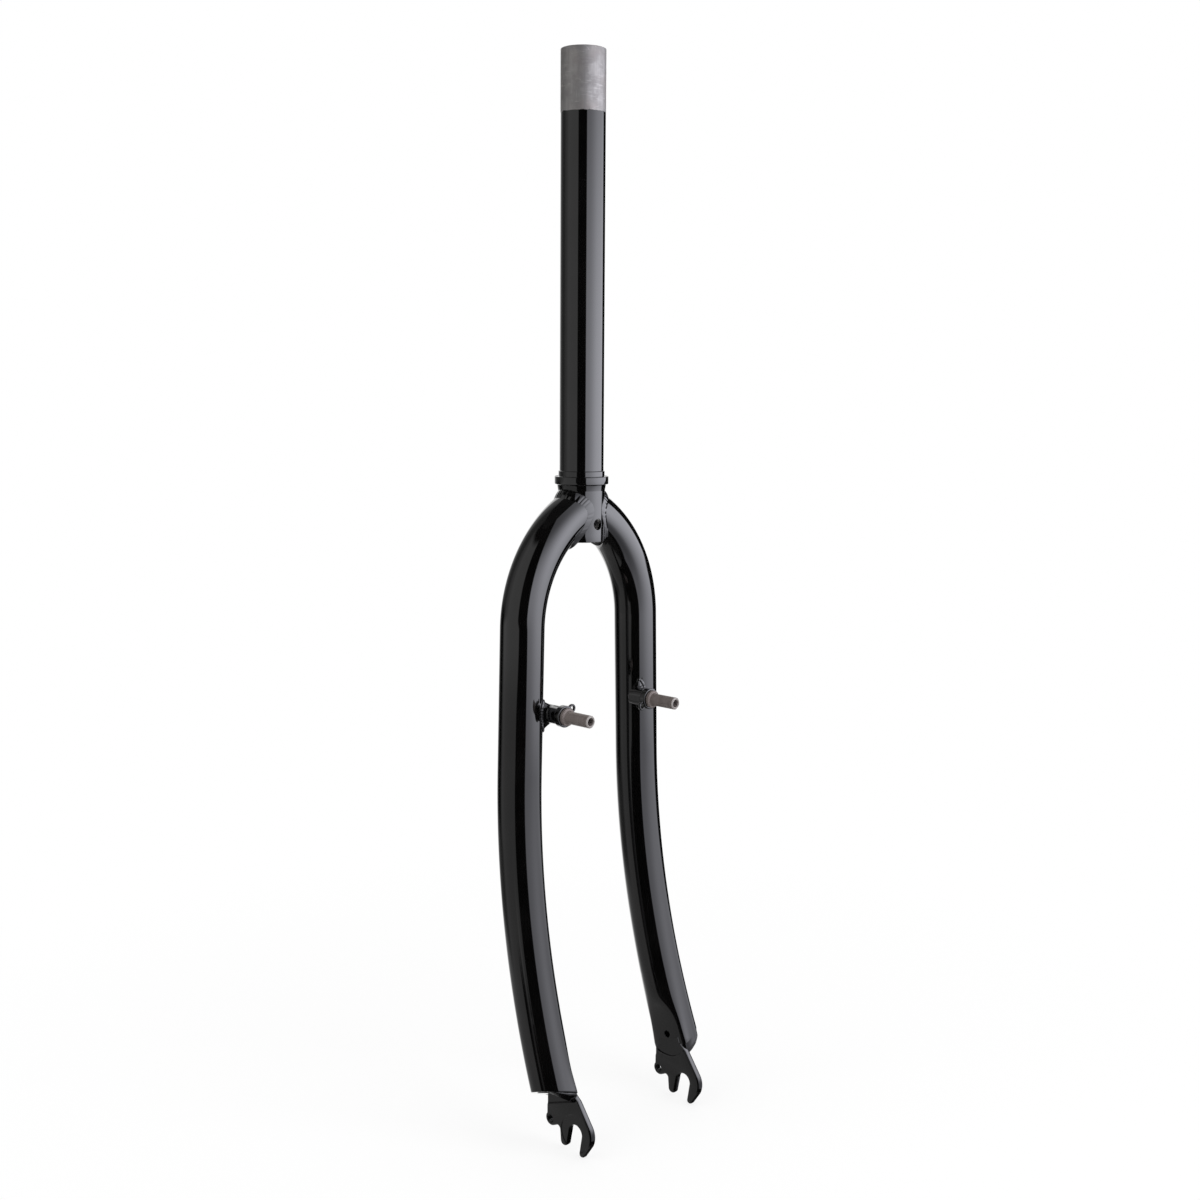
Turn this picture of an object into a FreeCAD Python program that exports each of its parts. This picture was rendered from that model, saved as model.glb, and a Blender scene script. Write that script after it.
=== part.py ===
# Rigid mountain bike fork, welded from steel tube, stamped dropouts and turned brake studs.
# The Z axis is the steerer's axis, upwards; the origin is on the shoulder that the crown race sits on.
# The fork rakes forward to -Y, and the rider's left is +X. Lengths are millimetres, angles degrees.
import FreeCAD, Part
import Sketcher
import math
import operator
import os
from types import SimpleNamespace

# Driving dimensions of the fork
DIMENSIONS = {
    # steerer, turned from one tube with its race seat and flange
    "steerer_diameter": 28.6,
    "steerer_bore": 25.4,
    "steerer_above_race": 266.0,
    "steerer_below_race": 42.0,
    "steerer_foot_diameter": 30.6,
    "steerer_top_chamfer": 0.6,
    "race_seat_diameter": 30.0,
    "race_seat_height": 3.5,
    "race_flange_diameter": 35.0,
    "race_flange_height": 5.0,
    "race_flange_chamfer": 0.5,
    "race_neck_diameter": 32.0,
    "race_neck_height": 4.0,
    "crown_hole_diameter": 7.0,
    "crown_hole_drop": 30.5,
    # blades, bent from round tube
    "blade_diameter": 28.6,
    "blade_wall": 1.3,
    "blade_top_gap": 1.7,
    "blade_spread": 52.6,
    "crown_bend_drop": 94.5,
    "rake_bend_drop": 187.3,
    "blade_end_allowance": 25.0,
    # where the wheel goes
    "axle_drop": 414.5,
    "fork_rake": 51.0,
    "hub_width": 100.0,
    # lower end of the blade
    "blade_overhang": 10.0,
    "blade_end_rise": 24.5,
    "blade_end_setback": 13.5,
    "blade_end_slant": 20.0,
    "press_flat_step": 0.5,
    "press_flat_rise": 10.0,
    "press_runout_radius": 40.0,
    "press_runout_turn": 60.0,
    "vent_hole_diameter": 4.8,
    "vent_hole_rise": 5.6,
    # dropout plate, measured from the axle
    "dropout_thickness": 4.8,
    "dropout_back": 25.0,
    "dropout_shoulder_rise": 19.8,
    "dropout_front_lean": 36.0,
    "eyelet_back": 22.4,
    "eyelet_rise": 2.5,
    "eyelet_radius": 4.8,
    "eyelet_hole_diameter": 5.0,
    "eyelet_underside_lean": 25.0,
    "tab_back": 14.2,
    "tab_length": 11.3,
    "tab_tip_radius": 3.8,
    "tab_root_radius": 2.0,
    "slot_radius": 5.4,
    "hook_radius": 12.0,
    "hook_centre_lead": 2.5,
    "hook_centre_rise": 0.5,
    "hook_heel_angle": 36.2,
    "hook_tip_lead": 5.6,
    "hook_tip_drop": 12.1,
    "hook_tip_radius": 2.3,
    "hook_lean": 10.0,
    "tang_thickness": 3.5,
    "tang_half_width": 11.2,
    "tang_root_half_width": 13.2,
    "tang_root_depth": 3.5,
    "tongue_half_width": 9.8,
    "tongue_length": 5.2,
    # brake bosses and their pivot studs
    "stud_spacing": 80.0,
    "stud_drop": 149.0,
    "stud_shoulder_lead": 29.2,
    "stud_tip_lead": 49.0,
    "stud_pivot_diameter": 8.0,
    "stud_tip_chamfer": 0.8,
    "stud_shoulder_diameter": 11.4,
    "stud_shoulder_length": 2.2,
    "stud_root_radius": 1.2,
    "stud_spigot_length": 9.0,
    "stud_spigot_diameter": 7.0,
    "stud_thread_diameter": 5.0,
    "stud_thread_depth": 16.0,
    "boss_flange_diameter": 14.0,
    "boss_flange_thickness": 4.4,
    "boss_flange_chamfer": 0.6,
    "boss_neck_width": 11.0,
    "boss_neck_lead": 16.0,
    "boss_foot_lead": 11.5,
    "boss_foot_height": 20.0,
    "boss_foot_offset": 1.1,
    "boss_foot_reach": 11.0,
    "ear_distance": 8.6,
    "ear_angle": 30.0,
    "ear_radius": 2.9,
    "ear_hole_diameter": 2.8,
    "ear_thickness": 3.0,
    # weld beads
    "crown_weld_size": 2.5,
    "boss_weld_size": 1.8,
    "dropout_weld_slant": 25.0,
    "dropout_weld_depth": 1.2,
}

CUTTER_REACH = 45.0
FULL_TURN = 360.0
DEGREES_PER_RADIAN = math.degrees(1.0)
OPERATIONS = {"+": operator.add, "-": operator.sub, "*": operator.mul, "/": operator.truediv}


class Size:
    """A number together with the formula that ties it to the sheet of dimensions."""

    def __init__(self, value, formula):
        self.value = value
        self.formula = formula

    def __add__(self, other):
        return combine(self, "+", other)

    def __radd__(self, other):
        return combine(other, "+", self)

    def __sub__(self, other):
        return combine(self, "-", other)

    def __rsub__(self, other):
        return combine(other, "-", self)

    def __mul__(self, other):
        return combine(self, "*", other)

    def __rmul__(self, other):
        return combine(other, "*", self)

    def __truediv__(self, other):
        return combine(self, "/", other)

    def __rtruediv__(self, other):
        return combine(other, "/", self)

    def __neg__(self):
        return combine(0.0, "-", self)


def as_size(number):
    return number if isinstance(number, Size) else Size(float(number), repr(float(number)))


def combine(left, sign, right):
    """Join two sizes with an arithmetic sign, both as numbers and as formulas."""
    first = as_size(left)
    second = as_size(right)
    value = OPERATIONS[sign](first.value, second.value)
    return Size(value, f"({first.formula} {sign} {second.formula})")


def sine(angle):
    return Size(math.sin(math.radians(angle.value)), f"sin({angle.formula})")


def cosine(angle):
    return Size(math.cos(math.radians(angle.value)), f"cos({angle.formula})")


def tangent(angle):
    return Size(math.tan(math.radians(angle.value)), f"tan({angle.formula})")


def arctangent(slope):
    return Size(math.degrees(math.atan(slope.value)), f"(atan({slope.formula}) / 1 deg)")


def arccosine(share):
    return Size(math.degrees(math.acos(share.value)), f"(acos({share.formula}) / 1 deg)")


def root(square):
    return Size(math.sqrt(square.value), f"sqrt({square.formula})")


doc = FreeCAD.newDocument("mountain_bike_fork")
sheet = doc.addObject("Spreadsheet::Sheet", "dims")
for row, (alias, number) in enumerate(DIMENSIONS.items(), start=1):
    sheet.set(f"A{row}", str(number))
    sheet.setAlias(f"A{row}", alias)
doc.recompute()
d = SimpleNamespace(**{alias: Size(float(sheet.get(alias)), f"dims.{alias}") for alias in DIMENSIONS})

# Lower end of the blade's axis, and the lean of the straight run that leads to it
blade_radius = d.blade_diameter / 2
end_across = d.hub_width / 2 + d.blade_overhang
end_forward = d.fork_rake - d.blade_end_setback
end_drop = d.axle_drop - d.blade_end_rise
blade_lean = arctangent((end_across - d.blade_spread) / (end_drop - d.crown_bend_drop))

# Crown bend: its outer side meets the foot of the steerer just below the neck of the race flange
steerer_foot_radius = d.steerer_foot_diameter / 2
blade_top_drop = d.race_flange_height + d.race_neck_height + d.blade_top_gap
top_across = steerer_foot_radius - d.blade_spread
top_rise = d.crown_bend_drop - blade_top_drop
crown_bend_radius = (top_across * top_across + top_rise * top_rise - blade_radius * blade_radius) / (
    2 * (blade_radius - top_across * cosine(blade_lean) - top_rise * sine(blade_lean))
)
crown_turn = arccosine(cosine(blade_lean) - d.blade_spread / crown_bend_radius) - blade_lean

# Rake bend: one arc from the straight run to the lower end
run_length = (d.rake_bend_drop - d.crown_bend_drop) / cosine(blade_lean)
rake_reach = (end_drop - d.rake_bend_drop) / cosine(blade_lean)
rake_bend_radius = (rake_reach * rake_reach + end_forward * end_forward) / (2 * end_forward)
end_tilt = 2 * arctangent(end_forward / rake_reach)
rake_turn = end_tilt + DEGREES_PER_RADIAN * d.blade_end_allowance / rake_bend_radius


def bind(item, **sizes):
    """Tie properties of an object to the sheet; a double underscore stands for a dot."""
    for path, size in sizes.items():
        item.setExpression(path.replace("__", "."), as_size(size).formula)


def new_body(name):
    return doc.addObject("PartDesign::Body", name)


def new_sketch(body, name, plane, **offset):
    """Sketch on one of the body's own planes, moved by an offset along x, y or z of that plane."""
    sketch = body.newObject("Sketcher::SketchObject", name)
    support = [item for item in body.Origin.OriginFeatures if item.Role == plane][0]
    sketch.AttachmentSupport = (support, [""])
    sketch.MapMode = "FlatFace"
    for axis, size in offset.items():
        bind(sketch, **{f"AttachmentOffset__Base__{axis}": size})
    return sketch


def hold(sketch, kind, element, size, point=None):
    """Add one driving constraint: a place measured from the sketch's origin, or a radius."""
    number = as_size(size)
    if point is None:
        constraint = Sketcher.Constraint(kind, element, number.value)
    else:
        constraint = Sketcher.Constraint(kind, -1, 1, element, point, number.value)
    index = sketch.addConstraint(constraint)
    sketch.setExpression(f"Constraints[{index}]", number.formula)


def add_circle(sketch, radius, across=0.0, up=0.0):
    centre = FreeCAD.Vector(as_size(across).value, as_size(up).value, 0)
    circle = Part.Circle(centre, FreeCAD.Vector(0, 0, 1), radius.value)
    index = sketch.addGeometry(circle, False)
    hold(sketch, "Radius", index, radius)
    hold(sketch, "DistanceX", index, across, 3)
    hold(sketch, "DistanceY", index, up, 3)


def arc_between(start, end, radius, turn):
    """Arc shorter than half a circle; turn is +1 to the left and -1 to the right."""
    chord = end - start
    middle = (start + end) * 0.5
    left = FreeCAD.Vector(-chord.y, chord.x, 0).normalize()
    height = math.sqrt(radius * radius - chord.Length * chord.Length / 4)
    bulge = middle - left * (turn * (radius - height))
    return Part.Arc(start, bulge, end)


def add_outline(sketch, corners):
    """Closed outline. A corner is (across, up), or (across, up, turn, radius) where an arc leaves it."""
    places = [FreeCAD.Vector(as_size(corner[0]).value, as_size(corner[1]).value, 0) for corner in corners]
    first = sketch.GeometryCount
    count = len(corners)
    starts = []
    ends = []
    for index, corner in enumerate(corners):
        start = places[index]
        end = places[(index + 1) % count]
        turns_right = len(corner) > 2 and corner[2] < 0
        if len(corner) > 2:
            sketch.addGeometry(arc_between(start, end, as_size(corner[3]).value, corner[2]), False)
        else:
            sketch.addGeometry(Part.LineSegment(start, end), False)
        starts.append(2 if turns_right else 1)
        ends.append(1 if turns_right else 2)
    for index, corner in enumerate(corners):
        edge = first + index
        before = (index - 1) % count
        joint = Sketcher.Constraint("Coincident", first + before, ends[before], edge, starts[index])
        sketch.addConstraint(joint)
        hold(sketch, "DistanceX", edge, corner[0], starts[index])
        hold(sketch, "DistanceY", edge, corner[1], starts[index])
        if len(corner) > 2:
            hold(sketch, "Radius", edge, corner[3])


def add_rectangle(sketch, left, right, half_height):
    corners = ((left, -half_height), (right, -half_height), (right, half_height), (left, half_height))
    add_outline(sketch, corners)


def pad(body, name, sketch, length, reverse=False, symmetric=False):
    feature = body.newObject("PartDesign::Pad", name)
    feature.Profile = sketch
    feature.Reversed = reverse
    if symmetric:
        feature.SideType = "Symmetric"
    bind(feature, Length=length)
    return feature


def pocket_through(body, name, sketch):
    feature = body.newObject("PartDesign::Pocket", name)
    feature.Profile = sketch
    feature.SideType = "Symmetric"
    feature.Type = "ThroughAll"
    return feature


def revolve(body, name, sketch, axis, angle):
    feature = body.newObject("PartDesign::Revolution", name)
    feature.Profile = sketch
    feature.ReferenceAxis = (sketch, [axis])
    bind(feature, Angle=angle)
    return feature


def add_axis(sketch, start, end):
    """Construction line that a section turns about, held at both its ends."""
    places = [FreeCAD.Vector(as_size(across).value, as_size(up).value, 0) for across, up in (start, end)]
    index = sketch.addGeometry(Part.LineSegment(*places), True)
    for point, (across, up) in ((1, start), (2, end)):
        hold(sketch, "DistanceX", index, across, point)
        hold(sketch, "DistanceY", index, up, point)


def cylinder(name, radius, height, **place):
    item = doc.addObject("Part::Cylinder", name)
    bind(item, Radius=radius, Height=height)
    for axis, size in place.items():
        bind(item, **{f"Placement__Base__{axis}": size})
    return item


def cut(name, base, *tools):
    """Take each tool away from the base in turn; the last result gets the name."""
    result = base
    for number, tool in enumerate(tools, start=1):
        step = doc.addObject("Part::Cut", name if number == len(tools) else f"{name}_cut_{number}")
        step.Base = result
        step.Tool = tool
        result = step
    return result


def common(name, first, second):
    item = doc.addObject("Part::Common", name)
    item.Base = first
    item.Tool = second
    return item


def mirrored(name, source):
    """The same piece on the other side of the fork."""
    item = doc.addObject("Part::Mirroring", name)
    item.Source = source
    item.Base = FreeCAD.Vector(0, 0, 0)
    item.Normal = FreeCAD.Vector(1, 0, 0)
    return item


def make_steerer():
    """Steerer, race seat, flange and foot as one turned tube, with the crown hole through the foot."""
    bore = d.steerer_bore / 2
    tube = d.steerer_diameter / 2
    seat = d.race_seat_diameter / 2
    flange = d.race_flange_diameter / 2
    neck = d.race_neck_diameter / 2
    body = new_body("steerer_tube")
    profile = new_sketch(body, "steerer_profile", "XZ_Plane")
    add_outline(profile, (
        (bore, -d.steerer_below_race),
        (steerer_foot_radius, -d.steerer_below_race),
        (steerer_foot_radius, -d.race_flange_height - d.race_neck_height),
        (neck, -d.race_flange_height),
        (flange - d.race_flange_chamfer, -d.race_flange_height),
        (flange, d.race_flange_chamfer - d.race_flange_height),
        (flange, -d.race_flange_chamfer),
        (flange - d.race_flange_chamfer, 0.0),
        (seat, 0.0),
        (seat, d.race_seat_height),
        (tube, d.race_seat_height),
        (tube, d.steerer_above_race - d.steerer_top_chamfer),
        (tube - d.steerer_top_chamfer, d.steerer_above_race),
        (bore, d.steerer_above_race),
    ))
    revolve(body, "steerer_turning", profile, "V_Axis", FULL_TURN)
    hole = new_sketch(body, "crown_hole_circle", "XZ_Plane")
    add_circle(hole, d.crown_hole_diameter / 2, 0.0, -d.crown_hole_drop)
    pocket_through(body, "crown_hole", hole)
    return body


def place_on_blade(body):
    """Frame of the left blade: at the foot of the crown bend, with Z up along the straight run."""
    body.Placement = FreeCAD.Placement(
        FreeCAD.Vector(), FreeCAD.Rotation(FreeCAD.Vector(0, -1, 0), blade_lean.value)
    )
    bind(body, Placement__Base__x=d.blade_spread, Placement__Base__z=-d.crown_bend_drop)
    bind(body, Placement__Rotation__Angle=blade_lean)


def add_crown_bend(body, name, radius, shift=0.0):
    """Round section, shifted away from the bend's centre, turned up to the steerer's axis."""
    section = new_sketch(body, f"{name}_crown_section", "XY_Plane")
    add_circle(section, radius, shift)
    add_axis(section, (-crown_bend_radius, radius), (-crown_bend_radius, -radius))
    revolve(body, f"{name}_crown_bend", section, "Axis0", crown_turn)
    return section


def bent_tube(name, radius):
    """Solid bar along the blade: crown bend, straight run and rake bend."""
    body = new_body(name)
    section = add_crown_bend(body, name, radius)
    pad(body, f"{name}_run", section, run_length, reverse=True)
    rake_section = new_sketch(body, f"{name}_rake_section", "XY_Plane", z=-run_length)
    add_circle(rake_section, radius)
    add_axis(rake_section, (radius, -rake_bend_radius), (-radius, -rake_bend_radius))
    revolve(body, f"{name}_rake_bend", rake_section, "Axis0", rake_turn)
    place_on_blade(body)
    return body


def end_tool(name, corners, across=0.0, level=False):
    """Prism at the blade's lower end: outline across the fork and up the blade, swept front to back."""
    body = new_body(name)
    outline = new_sketch(body, f"{name}_outline", "XZ_Plane")
    add_outline(outline, corners)
    pad(body, f"{name}_prism", outline, 2 * CUTTER_REACH, symmetric=True)
    if not level:
        body.Placement = FreeCAD.Placement(
            FreeCAD.Vector(), FreeCAD.Rotation(FreeCAD.Vector(-1, 0, 0), end_tilt.value)
        )
        bind(body, Placement__Rotation__Angle=end_tilt)
    bind(body, Placement__Base__x=across, Placement__Base__y=-end_forward, Placement__Base__z=-end_drop)
    return body


def press_die(name, across):
    """Die that presses the inside of the blade flat and runs out upwards on an arc."""
    runout_in = d.press_runout_radius * (1 - cosine(d.press_runout_turn))
    runout_up = d.press_flat_rise + d.press_runout_radius * sine(d.press_runout_turn)
    return end_tool(name, (
        (0.0, -CUTTER_REACH),
        (0.0, d.press_flat_rise, 1, d.press_runout_radius),
        (-runout_in, runout_up),
        (-CUTTER_REACH, runout_up),
        (-CUTTER_REACH, -CUTTER_REACH),
    ), across)


def make_blade(bar, dropout):
    """Left blade: bent tube pressed flat at its end, mitred to the steerer and cut off on a slant."""
    flat_across = d.hub_width / 2 + d.press_flat_step
    pressed_bar = cut("left_blade_bar", bar, press_die("blade_press_die", flat_across))
    bore = bent_tube("blade_bore", blade_radius - d.blade_wall)
    pressed_bore = cut("left_blade_bore", bore, press_die("bore_press_die", flat_across + d.blade_wall))
    mitre = cylinder("blade_mitre", steerer_foot_radius, d.crown_bend_drop, z=-d.crown_bend_drop)
    slope = tangent(d.blade_end_slant)
    end_cut = end_tool("blade_end_cut", (
        (-CUTTER_REACH, -CUTTER_REACH * slope),
        (-CUTTER_REACH, -2 * CUTTER_REACH * slope - CUTTER_REACH),
        (CUTTER_REACH, -2 * CUTTER_REACH * slope - CUTTER_REACH),
        (CUTTER_REACH, CUTTER_REACH * slope),
    ), end_across)
    vent = cylinder("vent_drill", d.vent_hole_diameter / 2, d.blade_overhang)
    vent.Placement = FreeCAD.Placement(
        FreeCAD.Vector(), FreeCAD.Rotation(FreeCAD.Vector(0, 1, 0), 90.0)
    )
    bind(vent, Placement__Base__x=d.hub_width / 2 - d.blade_wall)
    bind(vent, Placement__Base__y=d.vent_hole_rise * sine(end_tilt) - end_forward)
    bind(vent, Placement__Base__z=d.vent_hole_rise * cosine(end_tilt) - end_drop)
    blade = cut("left_blade", pressed_bar, pressed_bore, mitre, end_cut, vent, dropout)
    return blade, pressed_bar, end_cut


def dropout_outline():
    """Outline of the plate about the axle: rear edge, eyelet, tab, slot, hook and front edge."""
    eyelet = d.eyelet_radius
    fillet = d.tab_root_radius
    slot = d.slot_radius
    tip = d.hook_tip_radius
    lean = d.eyelet_underside_lean
    shoulder_back = (d.dropout_shoulder_rise - d.dropout_back * sine(end_tilt)) / cosine(end_tilt)
    lobe = d.dropout_back - d.eyelet_back
    lobe_top = d.eyelet_rise + root(eyelet * eyelet - lobe * lobe)
    under_back = d.eyelet_back - eyelet * sine(lean)
    under_rise = d.eyelet_rise - eyelet * cosine(lean)
    under_length = (under_back - fillet * sine(lean) - d.tab_back - fillet) / cosine(lean)
    tab_side = d.tab_tip_radius - d.tab_length
    heel_back = -d.hook_centre_lead - d.hook_radius * cosine(d.hook_heel_angle)
    heel_rise = d.hook_centre_rise - d.hook_radius * sine(d.hook_heel_angle)
    front_back = -d.hook_centre_lead - d.hook_radius * cosine(d.dropout_front_lean)
    front_rise = d.hook_centre_rise + d.hook_radius * sine(d.dropout_front_lean)
    front_height = front_back * sine(end_tilt) + front_rise * cosine(end_tilt)
    front_length = (d.dropout_shoulder_rise - front_height) / cosine(d.dropout_front_lean - end_tilt)
    return (
        (d.dropout_back, shoulder_back),
        (d.dropout_back, lobe_top, -1, eyelet),
        (d.eyelet_back + eyelet, d.eyelet_rise, -1, eyelet),
        (under_back, under_rise),
        (under_back - under_length * cosine(lean), under_rise + under_length * sine(lean), 1, fillet),
        (d.tab_back, under_rise + under_length * sine(lean) - fillet * cosine(lean)),
        (d.tab_back, tab_side, -1, d.tab_tip_radius),
        (d.tab_back - d.tab_tip_radius, -d.tab_length, -1, d.tab_tip_radius),
        (d.tab_back - 2 * d.tab_tip_radius, tab_side),
        (slot, 0.0, 1, slot),
        (0.0, slot, 1, slot),
        (-slot, 0.0),
        (tip * cosine(d.hook_lean) - d.hook_tip_lead, tip * sine(d.hook_lean) - d.hook_tip_drop, -1, tip),
        (-d.hook_tip_lead - tip * cosine(d.hook_heel_angle),
         -d.hook_tip_drop - tip * sine(d.hook_heel_angle)),
        (heel_back, heel_rise, -1, d.hook_radius),
        (front_back, front_rise),
        (front_back + front_length * sine(d.dropout_front_lean),
         front_rise + front_length * cosine(d.dropout_front_lean)),
    )


def tang_outline():
    """Outline of the tang and its tongue, square to the lower end of the blade."""
    centre = d.blade_end_setback * cosine(end_tilt) - d.blade_end_rise * sine(end_tilt)
    end_height = d.blade_end_setback * sine(end_tilt) + d.blade_end_rise * cosine(end_tilt)
    seat = end_height - (d.blade_overhang - d.press_flat_step) * tangent(d.blade_end_slant)
    root_height = d.dropout_shoulder_rise - d.tang_root_depth
    corners = (
        (d.tang_root_half_width, root_height),
        (d.tang_half_width, seat),
        (d.tongue_half_width, seat),
        (d.tongue_half_width, seat + d.tongue_length),
        (-d.tongue_half_width, seat + d.tongue_length),
        (-d.tongue_half_width, seat),
        (-d.tang_half_width, seat),
        (-d.tang_root_half_width, root_height),
    )
    return tuple(
        ((centre + back) * cosine(end_tilt) + height * sine(end_tilt),
         height * cosine(end_tilt) - (centre + back) * sine(end_tilt))
        for back, height in corners
    )


def make_dropout():
    """Left dropout: stamped plate inside the blade's end, with a thinner tang and a tapped eyelet."""
    body = new_body("left_dropout")
    inner_face = d.hub_width / 2
    plate = new_sketch(body, "dropout_plate", "YZ_Plane", x=-d.fork_rake, y=-d.axle_drop, z=inner_face)
    add_outline(plate, dropout_outline())
    pad(body, "dropout_body", plate, d.dropout_thickness)
    tang_face = inner_face + d.press_flat_step
    tang = new_sketch(body, "dropout_tang", "YZ_Plane", x=-d.fork_rake, y=-d.axle_drop, z=tang_face)
    add_outline(tang, tang_outline())
    pad(body, "dropout_tang_pad", tang, d.tang_thickness)
    eyelet = new_sketch(body, "eyelet_circle", "YZ_Plane", x=-d.fork_rake, y=-d.axle_drop, z=inner_face)
    add_circle(eyelet, d.eyelet_hole_diameter / 2, d.eyelet_back, d.eyelet_rise)
    pocket_through(body, "eyelet_hole", eyelet)
    return body


def make_dropout_weld(pressed_bar, end_cut, dropout):
    """Weld under the front of the blade's slanted end, with a floor that is level from front to back."""
    slope = tangent(d.dropout_weld_slant)
    above_floor = end_tool("dropout_weld_floor", (
        (-CUTTER_REACH, -CUTTER_REACH * slope - d.dropout_weld_depth),
        (CUTTER_REACH, CUTTER_REACH * slope - d.dropout_weld_depth),
        (CUTTER_REACH, CUTTER_REACH * slope + CUTTER_REACH),
        (-CUTTER_REACH, CUTTER_REACH * slope + CUTTER_REACH),
    ), end_across, level=True)
    below_blade = common("dropout_weld_blank", pressed_bar, end_cut)
    return cut("left_dropout_weld", common("dropout_weld_wedge", below_blade, above_floor), dropout)


def make_crown_weld(bar, steerer):
    """Two crescent beads, above the blade under the race flange and below it in the crotch."""
    blanks = []
    for name, side in (("upper", 1), ("lower", -1)):
        body = new_body(f"{name}_bead_bar")
        add_crown_bend(body, f"{name}_bead", blade_radius, side * d.crown_weld_size)
        place_on_blade(body)
        blanks.append(body)
    beads = doc.addObject("Part::MultiFuse", "crown_bead_bars")
    beads.Shapes = blanks
    collar = cylinder(
        "crown_weld_collar", steerer_foot_radius + d.crown_weld_size, d.crown_bend_drop,
        z=-d.crown_bend_drop - d.race_flange_height,
    )
    core = cylinder(
        "crown_weld_core", steerer_foot_radius, 2 * d.crown_bend_drop, z=-2 * d.crown_bend_drop
    )
    return cut("left_crown_weld", common("crown_weld_blank", beads, collar), bar, core, steerer)


def place_at_stud(body, side):
    """Frame of a brake stud: Y along the stud, turned half round for the right side."""
    turn = 0.0 if side > 0 else 180.0
    body.Placement = FreeCAD.Placement(FreeCAD.Vector(), FreeCAD.Rotation(FreeCAD.Vector(0, 1, 0), turn))
    bind(body, Placement__Base__x=side * d.stud_spacing / 2, Placement__Base__z=-d.stud_drop)


def add_foot(body, name, margin):
    """Foot of the boss, lofted from the blade down to the square neck and grown by a margin."""
    half = d.boss_neck_width / 2 + margin
    foot_half = d.boss_foot_height / 2 + margin
    foot = new_sketch(body, f"{name}_foot", "XZ_Plane", y=d.boss_foot_offset, z=d.boss_foot_lead)
    add_rectangle(foot, -half, d.boss_foot_reach, foot_half)
    neck = new_sketch(body, f"{name}_neck", "XZ_Plane", z=d.boss_neck_lead)
    add_rectangle(neck, -half, half, half)
    loft = body.newObject("PartDesign::AdditiveLoft", f"{name}_foot_loft")
    loft.Profile = foot
    loft.Sections = [neck]
    loft.Ruled = True
    return neck


def make_boss(side_name, side, bar):
    """Brake boss: foot saddled on the blade, square neck, round flange and an ear for the spring."""
    flange_radius = d.boss_flange_diameter / 2
    face = d.stud_shoulder_lead - d.stud_shoulder_length
    flange_back = face - d.boss_flange_thickness
    ear_across = -d.ear_distance * cosine(d.ear_angle)
    ear_up = -d.ear_distance * sine(d.ear_angle)
    name = f"{side_name}_boss"
    body = new_body(f"{name}_blank")
    neck = add_foot(body, name, 0.0)
    pad(body, f"{name}_neck_bar", neck, flange_back - d.boss_neck_lead)
    ear = new_sketch(body, f"{name}_ear", "XZ_Plane", z=face - d.ear_thickness)
    reach = d.ear_radius
    add_outline(ear, (
        (-reach * sine(d.ear_angle), reach * cosine(d.ear_angle)),
        (ear_across - reach * sine(d.ear_angle), ear_up + reach * cosine(d.ear_angle), 1, reach),
        (ear_across - reach * cosine(d.ear_angle), ear_up - reach * sine(d.ear_angle), 1, reach),
        (ear_across + reach * sine(d.ear_angle), ear_up - reach * cosine(d.ear_angle)),
        (reach * sine(d.ear_angle), -reach * cosine(d.ear_angle)),
    ))
    pad(body, f"{name}_ear_plate", ear, d.ear_thickness)
    flange = new_sketch(body, f"{name}_flange", "YZ_Plane")
    add_outline(flange, (
        (-flange_back, 0.0),
        (-flange_back, flange_radius - d.boss_flange_chamfer),
        (-flange_back - d.boss_flange_chamfer, flange_radius),
        (d.boss_flange_chamfer - face, flange_radius),
        (-face, flange_radius - d.boss_flange_chamfer),
        (-face, 0.0),
    ))
    revolve(body, f"{name}_flange_disc", flange, "H_Axis", FULL_TURN)
    spring = new_sketch(body, f"{name}_spring_circle", "XZ_Plane")
    add_circle(spring, d.ear_hole_diameter / 2, ear_across, ear_up)
    pocket_through(body, f"{name}_spring_hole", spring)
    place_at_stud(body, side)
    socket = cylinder(
        f"{name}_socket", d.stud_spigot_diameter / 2, d.stud_spigot_length,
        x=side * d.stud_spacing / 2, y=d.stud_spigot_length - face, z=-d.stud_drop,
    )
    socket.Placement.Rotation = FreeCAD.Rotation(FreeCAD.Vector(1, 0, 0), 90.0)
    return cut(f"{side_name}_brake_boss", body, bar, socket)


def make_stud(side_name, side):
    """Turned pivot stud: spigot in the boss, shoulder, fillet, pivot and tapped end."""
    spigot = d.stud_spigot_diameter / 2
    pivot = d.stud_pivot_diameter / 2
    thread = d.stud_thread_diameter / 2
    shoulder = d.stud_shoulder_diameter / 2
    face = d.stud_shoulder_lead - d.stud_shoulder_length
    body = new_body(f"{side_name}_brake_stud")
    profile = new_sketch(body, f"{side_name}_stud_profile", "YZ_Plane")
    add_outline(profile, (
        (d.stud_spigot_length - face, 0.0),
        (d.stud_thread_depth - d.stud_tip_lead, 0.0),
        (d.stud_thread_depth - d.stud_tip_lead, thread),
        (-d.stud_tip_lead, thread),
        (-d.stud_tip_lead, pivot - d.stud_tip_chamfer),
        (d.stud_tip_chamfer - d.stud_tip_lead, pivot),
        (-d.stud_shoulder_lead - d.stud_root_radius, pivot, 1, d.stud_root_radius),
        (-d.stud_shoulder_lead, pivot + d.stud_root_radius),
        (-d.stud_shoulder_lead, shoulder),
        (-face, shoulder),
        (-face, spigot),
        (d.stud_spigot_length - face, spigot),
    ))
    revolve(body, f"{side_name}_stud_turning", profile, "H_Axis", FULL_TURN)
    place_at_stud(body, side)
    return body


def make_boss_weld(side_name, side, bar, skin, boss):
    """Bead round the foot of the boss, where it stands on the blade."""
    body = new_body(f"{side_name}_boss_bead_blank")
    add_foot(body, f"{side_name}_boss_bead", d.boss_weld_size)
    place_at_stud(body, side)
    bead = common(f"{side_name}_boss_bead", body, skin)
    return cut(f"{side_name}_boss_weld", bead, bar, boss)


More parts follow.
